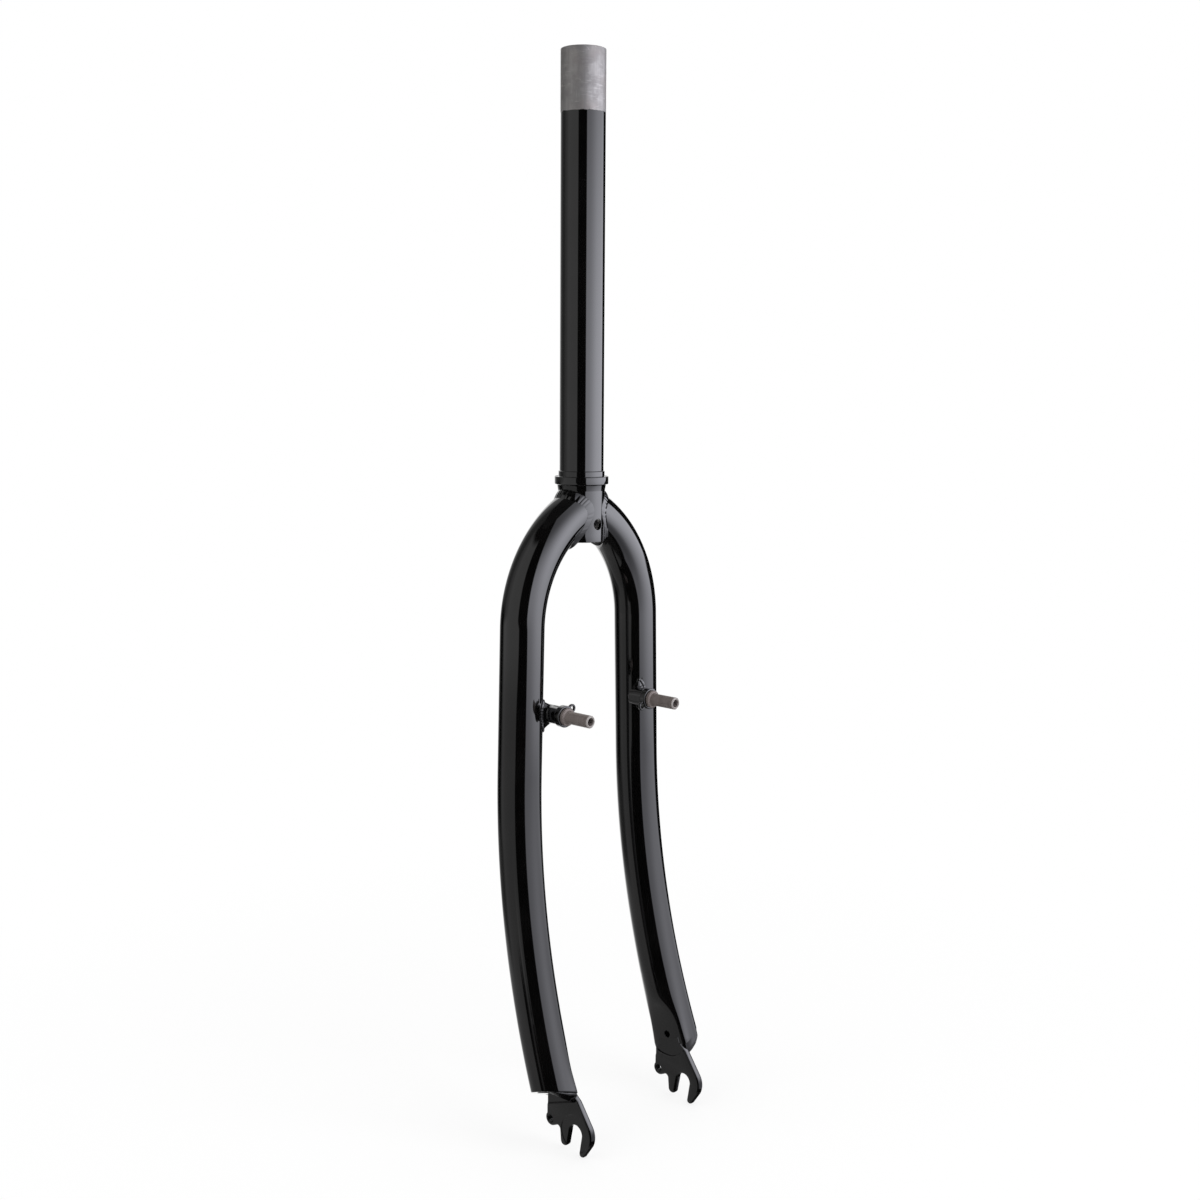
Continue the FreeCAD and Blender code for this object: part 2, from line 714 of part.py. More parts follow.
def make_blade_skin():
    """Blade's straight run grown by the bead, which bounds the bead round the boss."""
    body = new_body("left_blade_skin")
    section = new_sketch(body, "blade_skin_section", "XY_Plane")
    add_circle(section, blade_radius + d.boss_weld_size)
    pad(body, "blade_skin_run", section, run_length, reverse=True)
    place_on_blade(body)
    return body


steerer = make_steerer()
left_bar = bent_tube("blade_bar", blade_radius)
right_bar = mirrored("right_blade_bar_solid", left_bar)
left_dropout = make_dropout()
left_blade, pressed_bar, end_cut = make_blade(left_bar, left_dropout)
left_dropout_weld = make_dropout_weld(pressed_bar, end_cut, left_dropout)
left_crown_weld = make_crown_weld(left_bar, steerer)
left_skin = make_blade_skin()
right_skin = mirrored("right_blade_skin", left_skin)

subparts = [steerer]
for piece in (left_blade, left_dropout, left_dropout_weld, left_crown_weld):
    subparts.append(piece)
    subparts.append(mirrored(piece.Name.replace("left", "right"), piece))
for side_name, side, bar, skin in (("left", 1, left_bar, left_skin), ("right", -1, right_bar, right_skin)):
    boss = make_boss(side_name, side, bar)
    subparts.append(boss)
    subparts.append(make_stud(side_name, side))
    subparts.append(make_boss_weld(side_name, side, bar, skin, boss))

doc.recompute()

failed = [item.Name for item in doc.Objects if "Invalid" in item.State or "Error" in item.State]
if failed:
    raise RuntimeError("objects that did not build: " + ", ".join(failed))
for piece in subparts:
    if piece.Shape.isNull() or not piece.Shape.isValid():
        raise RuntimeError("no valid solid in " + piece.Name)

os.makedirs("parts", exist_ok=True)
for piece in subparts:
    piece.Label = piece.Name
    piece.Shape.exportStep(f"parts/{piece.Label}.step")
    print(piece.Label, len(piece.Shape.Solids), round(piece.Shape.Volume, 1))
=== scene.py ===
"""Looks of a rigid mountain bike fork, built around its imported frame. Lengths are metres."""
import math

import bmesh
import bpy
import numpy as np
from bpy.props import FloatProperty, FloatVectorProperty, PointerProperty
from mathutils import Matrix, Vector
from mathutils.geometry import tessellate_polygon


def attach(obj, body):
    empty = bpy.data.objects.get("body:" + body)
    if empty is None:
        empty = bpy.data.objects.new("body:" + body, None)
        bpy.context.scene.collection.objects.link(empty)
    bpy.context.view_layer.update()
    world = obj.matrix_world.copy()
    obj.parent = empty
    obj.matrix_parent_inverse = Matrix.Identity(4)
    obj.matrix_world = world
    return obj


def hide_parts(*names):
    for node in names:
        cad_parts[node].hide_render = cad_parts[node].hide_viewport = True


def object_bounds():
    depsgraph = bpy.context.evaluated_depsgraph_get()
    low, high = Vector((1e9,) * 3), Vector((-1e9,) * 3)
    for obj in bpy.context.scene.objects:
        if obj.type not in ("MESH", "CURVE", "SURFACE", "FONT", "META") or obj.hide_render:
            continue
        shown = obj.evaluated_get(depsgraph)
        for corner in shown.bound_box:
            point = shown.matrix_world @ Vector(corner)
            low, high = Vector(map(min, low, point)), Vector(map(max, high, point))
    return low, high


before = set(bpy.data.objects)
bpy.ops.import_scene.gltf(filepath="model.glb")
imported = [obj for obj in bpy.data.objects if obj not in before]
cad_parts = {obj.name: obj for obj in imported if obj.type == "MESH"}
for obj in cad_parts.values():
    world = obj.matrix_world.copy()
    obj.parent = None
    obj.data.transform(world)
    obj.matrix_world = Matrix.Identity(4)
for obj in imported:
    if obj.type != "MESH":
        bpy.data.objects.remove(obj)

bl_info = {
    "name": "Mountain bike fork",
    "version": (1, 0, 0),
    "blender": (4, 5, 0),
    "location": "View3D > Sidebar > Fork",
    "description": "Builds the painted tubes, bosses, studs, dropouts and welds of a rigid fork",
    "category": "Object",
}

CAD_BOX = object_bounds()
MM = 0.001
TAU = 2 * np.pi
AROUND = 192
HALVINGS = 44
TURNED_SHARP = 35.0
STAMPED_SHARP = 26.0
BLADE_SHARP = 60.0
WELD_SHARP = 70.0
BOSS_SOFTENING = 4
SIDES = (("left", 1.0), ("right", -1.0))
FORWARD = np.array((0.0, -1.0, 0.0))
WHITE = (1.0, 1.0, 1.0, 1.0)
MADE_HERE = "fork_finish"
GLOSS = {"IOR": 1.5, "Coat_Roughness": 0.03, "Coat_IOR": 1.5}

# The welds are laid by hand, so the two sides differ. free is the cosine of the angle round the blade at
# which its rim comes clear of the end weld, and floor_rise lifts that weld's floor. hang, front_swell and
# hollow are the crown bead's reach down the steerer, its fullness in front and its hollow in the crotch.
LAID = {
    "left": {"free": 0.45, "floor_rise": 0.0, "hang": 1.2 * MM, "front_swell": 0.40, "hollow": 0.40},
    "right": {"free": -0.85, "floor_rise": 1.8 * MM, "hang": 2.2 * MM, "front_swell": 0.20, "hollow": 0.0},
}


def length(name, text, millimetres):
    """Property for a length, given in millimetres and kept in metres."""
    return FloatProperty(name=name, description=text, default=millimetres * MM, unit="LENGTH")


def angle(name, text, degrees):
    """Property for an angle, given in degrees and kept in radians."""
    return FloatProperty(name=name, description=text, default=math.radians(degrees), unit="ROTATION")


def colour(name, text, value):
    """Property for a colour, as red, green and blue from 0 to 1."""
    return FloatVectorProperty(
        name=name, description=text, default=value, subtype="COLOR", min=0.0, max=1.0,
    )


class SteererSizes(bpy.types.PropertyGroup):
    radius: length("Radius", "Outside of the steerer", 14.3)
    bore: length("Bore radius", "Inside of the steerer", 12.7)
    top: length("Top", "Height of the cut end above the race shoulder", 266.0)
    bottom: length("Bottom", "Depth of the open lower end", 42.0)
    foot: length("Foot radius", "Outside below the race flange", 15.3)
    seat: length("Race seat radius", "Land that the crown race is pressed on", 15.0)
    seat_height: length("Race seat height", "Height of that land", 3.5)
    flange: length("Flange radius", "Collar that the crown race rests on", 17.5)
    flange_height: length("Flange height", "Height of the collar", 5.0)
    neck: length("Neck radius", "Cone under the collar, at its top", 16.0)
    neck_height: length("Neck height", "Height of the cone", 4.0)
    hole: length("Crown hole radius", "Hole through the foot", 3.5)
    hole_drop: length("Crown hole drop", "Depth of that hole below the shoulder", 30.5)
    edge: length("Edge rounding", "Roundness that paint gives to turned edges", 0.45)


class BladeSizes(bpy.types.PropertyGroup):
    radius: length("Radius", "Outside of the blade", 14.3)
    spread: length("Spread", "Distance of the blade from the middle below the crown", 52.6)
    crown_drop: length("Crown drop", "Depth at which the crown bend ends", 94.5)
    rake_drop: length("Rake drop", "Depth at which the rake bend starts", 187.3)
    top_drop: length("Top drop", "Depth at which the blade meets the steerer", 10.7)
    end_across: length("End across", "Lower end of the axis, from the middle", 60.0)
    end_forward: length("End forward", "Lower end of the axis, in front of the steerer", 37.5)
    end_drop: length("End drop", "Depth of the lower end of the axis", 390.0)
    end_slant: angle("End slant", "Slant of the cut at the lower end", 20.0)
    flat: length("Flat", "Distance of the pressed flat from the middle", 50.5)
    flat_rise: length("Flat rise", "Height of the flat above the lower end", 10.0)
    runout: length("Run-out radius", "Arc on which the flat runs out", 40.0)
    press_edge: length("Press edge", "Softness of the flat's edges", 2.4)
    rim: length("Rim", "Roundness of the rim where it stands free of the weld", 0.9)
    bulge: length("Bulge", "How far the press drives the flat's rear corner out", 4.6)
    lead: length("Lead", "How far the press drives the flat's front corner forward", 2.0)
    bulge_reach: length("Bulge reach", "Height over which both fade", 24.0)
    vent: length("Vent radius", "Hole that lets gas out during welding", 2.4)
    vent_rise: length("Vent rise", "Height of that hole above the lower end", 5.6)


class DropoutSizes(bpy.types.PropertyGroup):
    inner: length("Inner face", "Half the width between the dropouts", 50.0)
    thickness: length("Thickness", "Thickness of the plate", 4.8)
    axle_drop: length("Axle drop", "Depth of the axle", 414.5)
    rake: length("Rake", "Axle in front of the steerer", 51.0)
    back: length("Back", "Rear edge behind the axle", 26.1)
    shoulder: length("Shoulder", "Height of the ledge above the axle", 19.8)
    front_lean: angle("Front lean", "Lean of the front edge", 36.0)
    eyelet_back: length("Eyelet back", "Eyelet behind the axle", 22.4)
    eyelet_rise: length("Eyelet rise", "Eyelet above the axle", 2.5)
    eyelet: length("Eyelet radius", "Lobe round the eyelet", 4.8)
    eyelet_hole: length("Eyelet hole radius", "Hole of the eyelet", 2.5)
    eyelet_lean: angle("Eyelet lean", "Lean of the eyelet's underside", 25.0)
    tab_back: length("Tab back", "Tab behind the axle", 14.2)
    tab_length: length("Tab length", "Depth of the tab below the axle", 11.8)
    tab_half: length("Tab half width", "Half the width of the tab at its root", 3.8)
    tab_tip: length("Tab tip radius", "End of the tab", 3.2)
    tab_root: length("Tab root radius", "Corner between tab and eyelet", 2.0)
    slot: length("Slot radius", "Half the width of the axle slot", 5.4)
    hook: length("Hook radius", "Outside of the hook", 12.0)
    hook_lead: length("Hook lead", "Centre of the hook in front of the axle", 2.5)
    hook_rise: length("Hook rise", "Centre of the hook above the axle", 0.5)
    heel: angle("Heel angle", "Where the hook's arc ends", 36.2)
    tip_lead: length("Tip lead", "Hook's tip in front of the axle", 5.6)
    tip_drop: length("Tip drop", "Hook's tip below the axle", 12.1)
    tip: length("Tip radius", "End of the hook", 2.3)
    hook_lean: angle("Hook lean", "Lean of the hook's inside", 10.0)
    tang_back: length("Tang back", "Rear edge of the tang behind the axle", 25.7)
    tang_front: length("Tang front", "Front edge of the tang from the blade's axis", 10.7)
    tongue: length("Tongue", "Half the width of the tongue inside the blade", 9.4)
    ledge: length("Ledge", "Depth of the ledge below the tang", 0.7)
    step: length("Step", "Depth of the step at the tang's inner weld", 0.75)
    seat: length("Seat radius", "Sunk seat of the axle nut", 12.3)
    seat_depth: length("Seat depth", "Depth of that seat", 0.35)
    edge: length("Edge rounding", "Roundness of the stamped edges under paint", 1.6)

    def axle(self):
        """The axle as (y, z), from which the plate's outline is measured as (back, rise)."""
        return np.array((-self.rake, -self.axle_drop))

    def inner_weld_line(self):
        """Line of the sagging weld on the plate's inner face as (back, rise), from back to front."""
        places = ((23.8, 15.6), (21.0, 14.6), (15.0, 14.2), (9.4, 15.1), (4.0, 18.2), (0.2, 21.8))
        return np.array(places) * MM


class BossSizes(bpy.types.PropertyGroup):
    spacing: length("Stud spacing", "Distance between the two studs", 80.0)
    drop: length("Stud drop", "Depth of the studs", 149.0)
    neck: length("Neck", "Half the width of the square neck", 5.5)
    neck_lead: length("Neck lead", "Where the neck turns into the foot", 16.0)
    foot_high: length("Foot, far side", "Reach of the foot along the blade, away from the ear", 11.3)
    foot_low: length("Foot, ear side", "Reach of the foot along the blade, on the ear's side", 9.0)
    foot_reach: length("Foot reach", "Reach of the foot across the blade", 11.0)
    foot_lead: length("Foot lead", "Where the foot is as high as that", 11.2)
    flange: length("Flange radius", "Round collar behind the stud", 7.0)
    flange_thickness: length("Flange thickness", "Thickness of the collar", 4.4)
    face: length("Face", "Front of the collar, in front of the steerer", 27.0)
    ear_distance: length("Ear distance", "Spring hole from the stud", 8.2)
    ear_angle: angle("Ear angle", "Turn of the ear from the horizontal", 30.0)
    ear: length("Ear radius", "Lobe round the spring hole", 2.9)
    ear_hole: length("Ear hole radius", "Spring hole", 1.4)
    ear_back: length("Ear back", "Back of the ear behind the collar's front", 3.2)
    ear_thickness: length("Ear thickness", "Thickness of the ear", 2.0)
    grain: length("Grain", "Size of the cells that the casting is skinned with", 0.22)


class StudSizes(bpy.types.PropertyGroup):
    shoulder: length("Shoulder radius", "Collar at the stud's root", 5.7)
    shoulder_lead: length("Shoulder lead", "Front of that collar", 29.2)
    tip_lead: length("Tip lead", "End of the stud", 49.0)
    pivot: length("Pivot radius", "Part that a brake arm turns on", 4.0)
    root: length("Root radius", "Fillet between collar and pivot", 1.2)
    chamfer: length("Tip chamfer", "Chamfer at the stud's end", 0.8)
    thread: length("Thread radius", "Tapped hole in the end", 2.5)
    thread_depth: length("Thread depth", "Depth of the tapped hole", 16.0)
    thread_pitch: length("Thread pitch", "Pitch of the thread", 1.0)
    spigot: length("Spigot radius", "Part that sits in the boss", 3.5)
    spigot_length: length("Spigot length", "Depth in the boss", 9.0)


class WeldSizes(bpy.types.PropertyGroup):
    crown: length("Crown bead", "Reach of the bead at the front and back of the crown", 2.0)
    crown_crotch: length("Crown bead, crotch", "Reach of the bead under the crown", 3.2)
    crown_top: length("Crown bead, top", "Reach of the bead on top of the blade", 5.0)
    crown_ripple: length("Crown ripple", "Length of one ripple of that bead", 3.1)
    boss: length("Boss bead", "Radius of the bead round a boss", 1.3)
    boss_ripple: length("Boss ripple", "Length of one ripple of that bead", 2.0)
    end_slant: angle("End slant", "Slope of the floor of the weld under the blade", 25.0)
    end_depth: length("End depth", "Depth of that floor below the end of the blade's axis", 1.2)
    end_ripple: length("End ripple", "Length of one ripple of that weld", 2.6)


class Finishes(bpy.types.PropertyGroup):
    paint: colour("Paint", "Gloss black paint", (0.0013, 0.0012, 0.0012))
    paint_thin: colour("Paint, thin", "Paint where it lies thinner", (0.0024, 0.0022, 0.0022))
    steel: colour("Steel", "Raw steel of the steerer's end", (0.45, 0.438, 0.434))
    steel_dull: colour("Steel, dull", "Duller patches of raw steel", (0.35, 0.338, 0.334))
    steel_tint: colour("Steel, tint", "Warm tint of bare steel", (0.41, 0.375, 0.362))
    stud: colour("Stud", "Turned steel of the studs", (0.205, 0.174, 0.163))
    paint_line: length("Paint line", "Height at which the steerer's paint ends", 227.5)


class ForkSettings(bpy.types.PropertyGroup):
    steerer: PointerProperty(type=SteererSizes)
    blade: PointerProperty(type=BladeSizes)
    dropout: PointerProperty(type=DropoutSizes)
    boss: PointerProperty(type=BossSizes)
    stud: PointerProperty(type=StudSizes)
    weld: PointerProperty(type=WeldSizes)
    finish: PointerProperty(type=Finishes)


def settings():
    """The sizes and colours in the scene."""
    return bpy.context.scene.fork_settings


class Wire:
    """One socket of a material, so that shader maths reads as arithmetic."""

    def __init__(self, tree, socket=None):
        self.tree = tree
        self.socket = socket

    def node(self, kind, options=None, values=None, output=0):
        """Add a node: its options are set first, then the values or wires of its sockets."""
        item = self.tree.nodes.new(kind)
        for key, value in (options or {}).items():
            setattr(item, key, value)
        for key, value in (values or {}).items():
            if isinstance(value, Wire):
                self.tree.links.new(value.socket, item.inputs[key])
            else:
                item.inputs[key].default_value = value
        return Wire(self.tree, item.outputs[output])

    def output(self, key):
        """Another output of the node that this one comes from."""
        return Wire(self.tree, self.socket.node.outputs[key])

    def maths(self, operation, first, second=0.0):
        return self.node("ShaderNodeMath", {"operation": operation}, {0: first, 1: second})

    def __add__(self, other):
        return self.maths("ADD", self, other)

    __radd__ = __add__

    def __sub__(self, other):
        return self.maths("SUBTRACT", self, other)

    def __rsub__(self, other):
        return self.maths("SUBTRACT", other, self)

    def __mul__(self, other):
        return self.maths("MULTIPLY", self, other)

    __rmul__ = __mul__

    def between(self, low, high):
        """0 below low, 1 above high, and a smooth step from one to the other."""
        options = {"interpolation_type": "SMOOTHSTEP"}
        return self.node("ShaderNodeMapRange", options, {"Value": self, "From Min": low, "From Max": high})

    def mix(self, first, second):
        """Colour first where this is 0 and colour second where it is 1."""
        return self.node("ShaderNodeMix", {"data_type": "RGBA"}, {0: self, 6: first, 7: second}, 2)

    def largest(self, *others):
        """The largest of this and other values."""
        result = self
        for other in others:
            result = self.maths("MAXIMUM", result, other)
        return result

    def close(self, shader):
        """Link a shader to the output node of its material or world."""
        output = next(item for item in self.tree.nodes if item.type.startswith("OUTPUT"))
        self.tree.links.new(shader.socket, output.inputs["Surface"])


def opaque(value):
    """Colour with an alpha of 1."""
    return (*tuple(value)[:3], 1.0)


def new_material(name):
    """Material with a Principled shader; returns it with a wire for its tree and the shader node."""
    material = bpy.data.materials.new(name)
    material.use_nodes = True
    tree = material.node_tree
    shader = next(item for item in tree.nodes if item.type == "BSDF_PRINCIPLED")
    return material, Wire(tree), shader


def feed(shader, **wires):
    """Link wires to the shader's sockets, or set plain values on them; an underscore stands for a blank."""
    tree = shader.id_data
    for key, value in wires.items():
        socket = shader.inputs[key.replace("_", " ")]
        if isinstance(value, Wire):
            tree.links.new(value.socket, socket)
        else:
            socket.default_value = value


def object_place(wire):
    """Place on the piece in its own coordinates, which are the fork's."""
    return wire.node("ShaderNodeTexCoord", output="Object")


def bumped(wire, height, strength, distance):
    """Normal of a surface that this height raises by the distance."""
    values = {"Strength": strength, "Distance": distance, "Height": height}
    return wire.node("ShaderNodeBump", None, values)


def noise(wire, place, scale, detail=3.0, roughness=0.5):
    """Cloudy value from 0 to 1 with so many clouds to a metre."""
    values = {"Vector": place, "Scale": scale, "Detail": detail, "Roughness": roughness}
    return wire.node("ShaderNodeTexNoise", {"noise_dimensions": "3D"}, values)


def stretched(wire, place, scale):
    """Place times a scale of its own on each axis."""
    return wire.node("ShaderNodeVectorMath", {"operation": "MULTIPLY"}, {0: place, 1: scale})


def paint_layers(wire, place, finish):
    """Colour, roughness and height of sprayed gloss paint: faint clouds, orange peel and dust."""
    clouds = noise(wire, place, 45.0, 2.0)
    peel = noise(wire, place, 420.0, 2.0)
    dust = noise(wire, place, 1500.0, 1.0).between(0.71, 0.80)
    shade = clouds.between(0.35, 0.7).mix(opaque(finish.paint), opaque(finish.paint_thin))
    rough = 0.05 + 0.035 * clouds + 0.12 * dust
    height = peel + 0.5 * dust
    return shade, rough, height


def steel_layers(wire, place, finish):
    """Colour, roughness and height of raw drawn tube: dull patches, warm tint, fine lines and scratches.

    A scratch is where a broad noise crosses its middle value, kept where another noise is high.
    """
    patches = noise(wire, place, 150.0, 4.0, 0.6).between(0.38, 0.66)
    tint = noise(wire, place, 70.0, 3.0).between(0.45, 0.70)
    drawn = noise(wire, stretched(wire, place, (700.0, 700.0, 40.0)), 1.0, 3.0, 0.65)
    scuffs = noise(wire, stretched(wire, place, (110.0, 110.0, 900.0)), 1.0, 2.0, 0.6).between(0.58, 0.74)
    bend = noise(wire, stretched(wire, place, (60.0, 60.0, 130.0)), 1.0, 1.5)
    near = wire.maths("ABSOLUTE", bend - 0.5)
    kept = noise(wire, place, 120.0, 2.0).between(0.50, 0.62)
    scratch = (1 - near.between(0.002, 0.009)) * kept
    specks = noise(wire, place, 2600.0, 1.0).between(0.74, 0.82)
    base = patches.mix(opaque(finish.steel), opaque(finish.steel_dull))
    warm = (tint * 0.6).mix(base, opaque(finish.steel_tint))
    lined = drawn.between(0.25, 0.60).mix(opaque(finish.steel_dull), warm)
    marks = (0.35 * scuffs).largest(0.6 * scratch, 0.5 * specks)
    shade = marks.mix(lined, (0.66, 0.635, 0.63, 1.0))
    rough = 0.55 - 0.10 * scuffs + 0.06 * patches
    height = 0.6 * drawn - 0.5 * scratch
    return shade, rough, height


def make_paint():
    """Gloss black paint for everything that is sprayed."""
    finish = settings().finish
    material, wire, shader = new_material("black_paint")
    place = object_place(wire)
    shade, rough, height = paint_layers(wire, place, finish)
    bump = bumped(wire, height, 0.06, 0.12 * MM)
    feed(shader, Base_Color=shade, Roughness=rough, Metallic=0.0, Coat_Weight=1.0, Normal=bump, **GLOSS)
    return material


def make_steerer_finish():
    """Gloss paint up to a ragged line, and raw steel above it and inside the bore."""
    fork = settings()
    finish = fork.finish
    material, wire, shader = new_material("painted_steerer")
    place = object_place(wire)
    across = wire.node("ShaderNodeSeparateXYZ", None, {0: place})
    ahead = across.output(1)
    height = across.output(2)
    ragged = noise(wire, place, 260.0, 4.0, 0.6)
    line = finish.paint_line
    bore = fork.steerer.bore
    bare = (height + 1.6 * MM * (ragged - 0.5)).between(line - 0.3 * MM, line + 0.3 * MM)
    reach = wire.maths("SQRT", across * across + ahead * ahead)
    inside = 1 - reach.between(bore + 0.2 * MM, bore + 0.6 * MM)
    raw = bare.largest(inside)
    paint, paint_rough, paint_height = paint_layers(wire, place, finish)
    steel, steel_rough, steel_height = steel_layers(wire, place, finish)
    shade = raw.mix(paint, steel)
    rough = paint_rough + raw * (steel_rough - paint_rough)
    relief = (1 - raw) * (2.5 + 0.06 * paint_height) + raw * 0.5 * steel_height
    bump = bumped(wire, relief, 0.5, 0.05 * MM)
    feed(shader, Base_Color=shade, Roughness=rough, Metallic=0.88 * raw, Normal=bump)
    feed(shader, Coat_Weight=1 - raw, **GLOSS)
    return material


def make_stud_finish():
    """Turned steel, left bare: fine tool rings round the axis, a little stain, and a lighter rim at the tip
    that is partly edge wear and partly a painted highlight.
    """
    fork = settings()
    finish = fork.finish
    material, wire, shader = new_material("bare_steel")
    place = object_place(wire)
    rings = noise(wire, stretched(wire, place, (25.0, 2600.0, 25.0)), 1.0, 2.0)
    stain = noise(wire, place, 190.0, 4.0, 0.6).between(0.45, 0.72)
    shade = (0.25 * stain).mix(opaque(finish.stud), opaque(finish.steel_tint))
    turned_shade = rings.between(0.2, 0.8).mix((0.155, 0.130, 0.122, 1.0), shade)
    lead = 0 - wire.node("ShaderNodeSeparateXYZ", None, {0: place}, 1)
    tip = fork.stud.tip_lead
    # lighter ring on the tip's chamfer: partly edge wear and partly a painted highlight
    bright = lead.between(tip - 0.85 * MM, tip - 0.6 * MM)
    tip_wear_and_highlight = bright.mix(turned_shade, (0.42, 0.39, 0.375, 1.0))
    bump = bumped(wire, rings, 0.2, 0.03 * MM)
    feed(shader, Base_Color=tip_wear_and_highlight, Roughness=0.50 + 0.12 * stain, Metallic=0.45, Normal=bump)
    return material


def finish_for(name, maker):
    """The material of a finish, made the first time that it is asked for and marked as made here."""
    material = bpy.data.materials.get(name)
    if not (material and material.get(MADE_HERE)):
        material = maker()
        material[MADE_HERE] = True
    return material


class Shell:
    """Vertices and faces of one piece, gathered from several surfaces."""

    def __init__(self):
        self.points = []
        self.quads = []
        self.triangles = []
        self.flats = []
        self.count = 0

    def add_points(self, points):
        start = self.count
        flat = np.asarray(points, float).reshape(-1, 3)
        self.points.append(flat)
        self.count += len(flat)
        return start

    def add_grid(self, points, loop_rows=False, keep=None):
        """Quads over a grid of rows by columns. Columns close on themselves; rows do if asked."""
        rows, columns = points.shape[:2]
        index = np.arange(rows * columns).reshape(rows, columns) + self.add_points(points)
        first = index if loop_rows else index[:-1]
        second = np.roll(index, -1, 0) if loop_rows else index[1:]
        quads = np.stack((first, np.roll(first, -1, 1), np.roll(second, -1, 1), second), -1)
        self.quads.append(quads[keep] if keep is not None else quads.reshape(-1, 4))

    def add_fan(self, ring):
        """Close a ring of points with triangles to its middle."""
        start = self.add_points(np.vstack((ring, ring.mean(0))))
        edge = np.arange(len(ring)) + start
        middle = np.full(len(ring), start + len(ring))
        self.triangles.append(np.stack((edge, np.roll(edge, -1), middle), -1))

    def add_closed(self, rows):
        """Grid whose first and last rows are closed."""
        self.add_grid(rows)
        self.add_fan(rows[0])
        self.add_fan(rows[-1])

    def add_tube(self, path, radius, around=14):
        """Round section of varying radius carried along an open path, with its ends closed."""
        ahead = unit(np.gradient(path, axis=0))
        aside = unit(np.cross(ahead, (1.0, 0.0, 0.0)))
        up = np.cross(aside, ahead)
        turn = circle(around)[None, :, None]
        section = np.cos(turn) * aside[:, None] + np.sin(turn) * up[:, None]
        self.add_closed(path[:, None] + radius[:, None, None] * section)

    def add_plate(self, rings):
        """Close a flat outline with holes; the first ring is the outside."""
        start = self.add_points(np.vstack(rings))
        faces = np.array(tessellate_polygon([ring.tolist() for ring in rings]))
        self.flats.append(faces + start)

    def build(self, name, side=1.0, sharp=50.0):
        """Mesh with its doubles merged and its faces outwards; side -1 mirrors it to the other side."""
        points = np.vstack(self.points) * (side, 1.0, 1.0)
        groups = [np.concatenate(group) for group in (self.quads, self.triangles, self.flats) if group]
        used = np.unique(np.concatenate([group.ravel() for group in groups]))
        fresh = np.zeros(len(points), int)
        fresh[used] = np.arange(len(used))
        faces = sum((fresh[group].tolist() for group in groups), [])
        mesh = bpy.data.meshes.new(name)
        mesh.from_pydata(points[used].tolist(), [], faces)
        flat_count = sum(len(group) for group in self.flats)
        smooth = np.ones(len(faces), bool)
        smooth[len(faces) - flat_count:] = False
        mesh.polygons.foreach_set("use_smooth", smooth)
        skin = bmesh.new()
        skin.from_mesh(mesh)
        bmesh.ops.remove_doubles(skin, verts=skin.verts, dist=2e-6)
        bmesh.ops.recalc_face_normals(skin, faces=skin.faces)
        skin.to_mesh(mesh)
        skin.free()
        mesh.set_sharp_from_angle(angle=math.radians(sharp))
        return mesh


def put_in(scene, name, data):
    """New object in the scene for a mesh, lamp or camera."""
    item = bpy.data.objects.new(name, data)
    scene.collection.objects.link(item)
    return item


def place_piece(mesh, node, material):
    """Put a finished mesh in the scene in the place of the CAD node that it stands for."""
    piece = put_in(bpy.context.scene, mesh.name, mesh)
    mesh.materials.append(material)
    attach(piece, "root")
    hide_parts(node)


def circle(count):
    """Angles of so many even steps once round."""
    return np.arange(count) * TAU / count


def unit(vectors):
    """Vectors over their lengths."""
    return vectors / np.linalg.norm(vectors, axis=-1, keepdims=True)


def halved(like, low, high, beyond):
    """Value between low and high at which beyond(value) turns true, for all entries at once, by halving."""
    low = np.full_like(like, low)
    high = np.full_like(like, high)
    for _ in range(HALVINGS):
        middle = 0.5 * (low + high)
        past = beyond(middle)
        high = np.where(past, middle, high)
        low = np.where(past, low, middle)
    return 0.5 * (low + high)


def smooth_step(low, high, values):
    """0 at low, 1 at high, and s s (3 - 2 s) between them, s the share of the way. low may be higher."""
    share = np.clip((values - low) / (high - low), 0.0, 1.0)
    return share * share * (3 - 2 * share)


def rounded(corners, steps=6):
    """Open or closed outline whose corners (x, y, radius) are replaced by arcs of that radius."""
    places = np.array([corner[:2] for corner in corners])
    before = unit(np.roll(places, 1, 0) - places)
    after = unit(np.roll(places, -1, 0) - places)
    pieces = []
    for place, back, ahead, corner in zip(places, before, after, corners):
        if corner[2] == 0.0:
            pieces.append(place[None])
            continue
        half = 0.5 * math.acos(np.clip(back @ ahead, -1.0, 1.0))
        centre = place + unit(back + ahead) * corner[2] / math.sin(half)
        start = place + back * corner[2] / math.tan(half) - centre
        end = place + ahead * corner[2] / math.tan(half) - centre
        turn = math.pi - 2 * half
        share = np.linspace(0.0, turn, steps)[:, None]
        pieces.append(centre + (start * np.sin(turn - share) + end * np.sin(share)) / math.sin(turn))
    return np.vstack(pieces)


def open_hole(across, up, half_across, half_up, radius, reach=2.3):
    """Bend a grid round a hole: a block's edge goes to the circle, and the bend fades by reach blocks.

    A point's distance from the block is the larger of its two offsets in half blocks. At distance 1
    it goes along its own direction to the circle, and from there to reach it comes back to its place.
    """
    distance = np.maximum(np.abs(across) / half_across, np.abs(up) / half_up)
    fade = smooth_step(1.0, reach, distance)
    radial = np.hypot(across, up)
    scale = np.where(distance >= 0.999, fade + (1 - fade) * radius / np.maximum(radial, 1e-9), 1.0)
    return across * scale, up * scale


def block_ring(points, row, column, half):
    """Points round a block of a grid, in order, and the rows and columns of the cells inside it."""
    rows = np.arange(row - half, row + half + 1)
    columns = np.arange(column - half, column + half + 1) % points.shape[1]
    ring = np.concatenate((
        points[rows[0], columns[:-1]], points[rows[:-1], columns[-1]],
        points[rows[-1], columns[:0:-1]], points[rows[:0:-1], columns[0]],
    ))
    return ring, np.ix_(rows[:-1], columns[:-1])


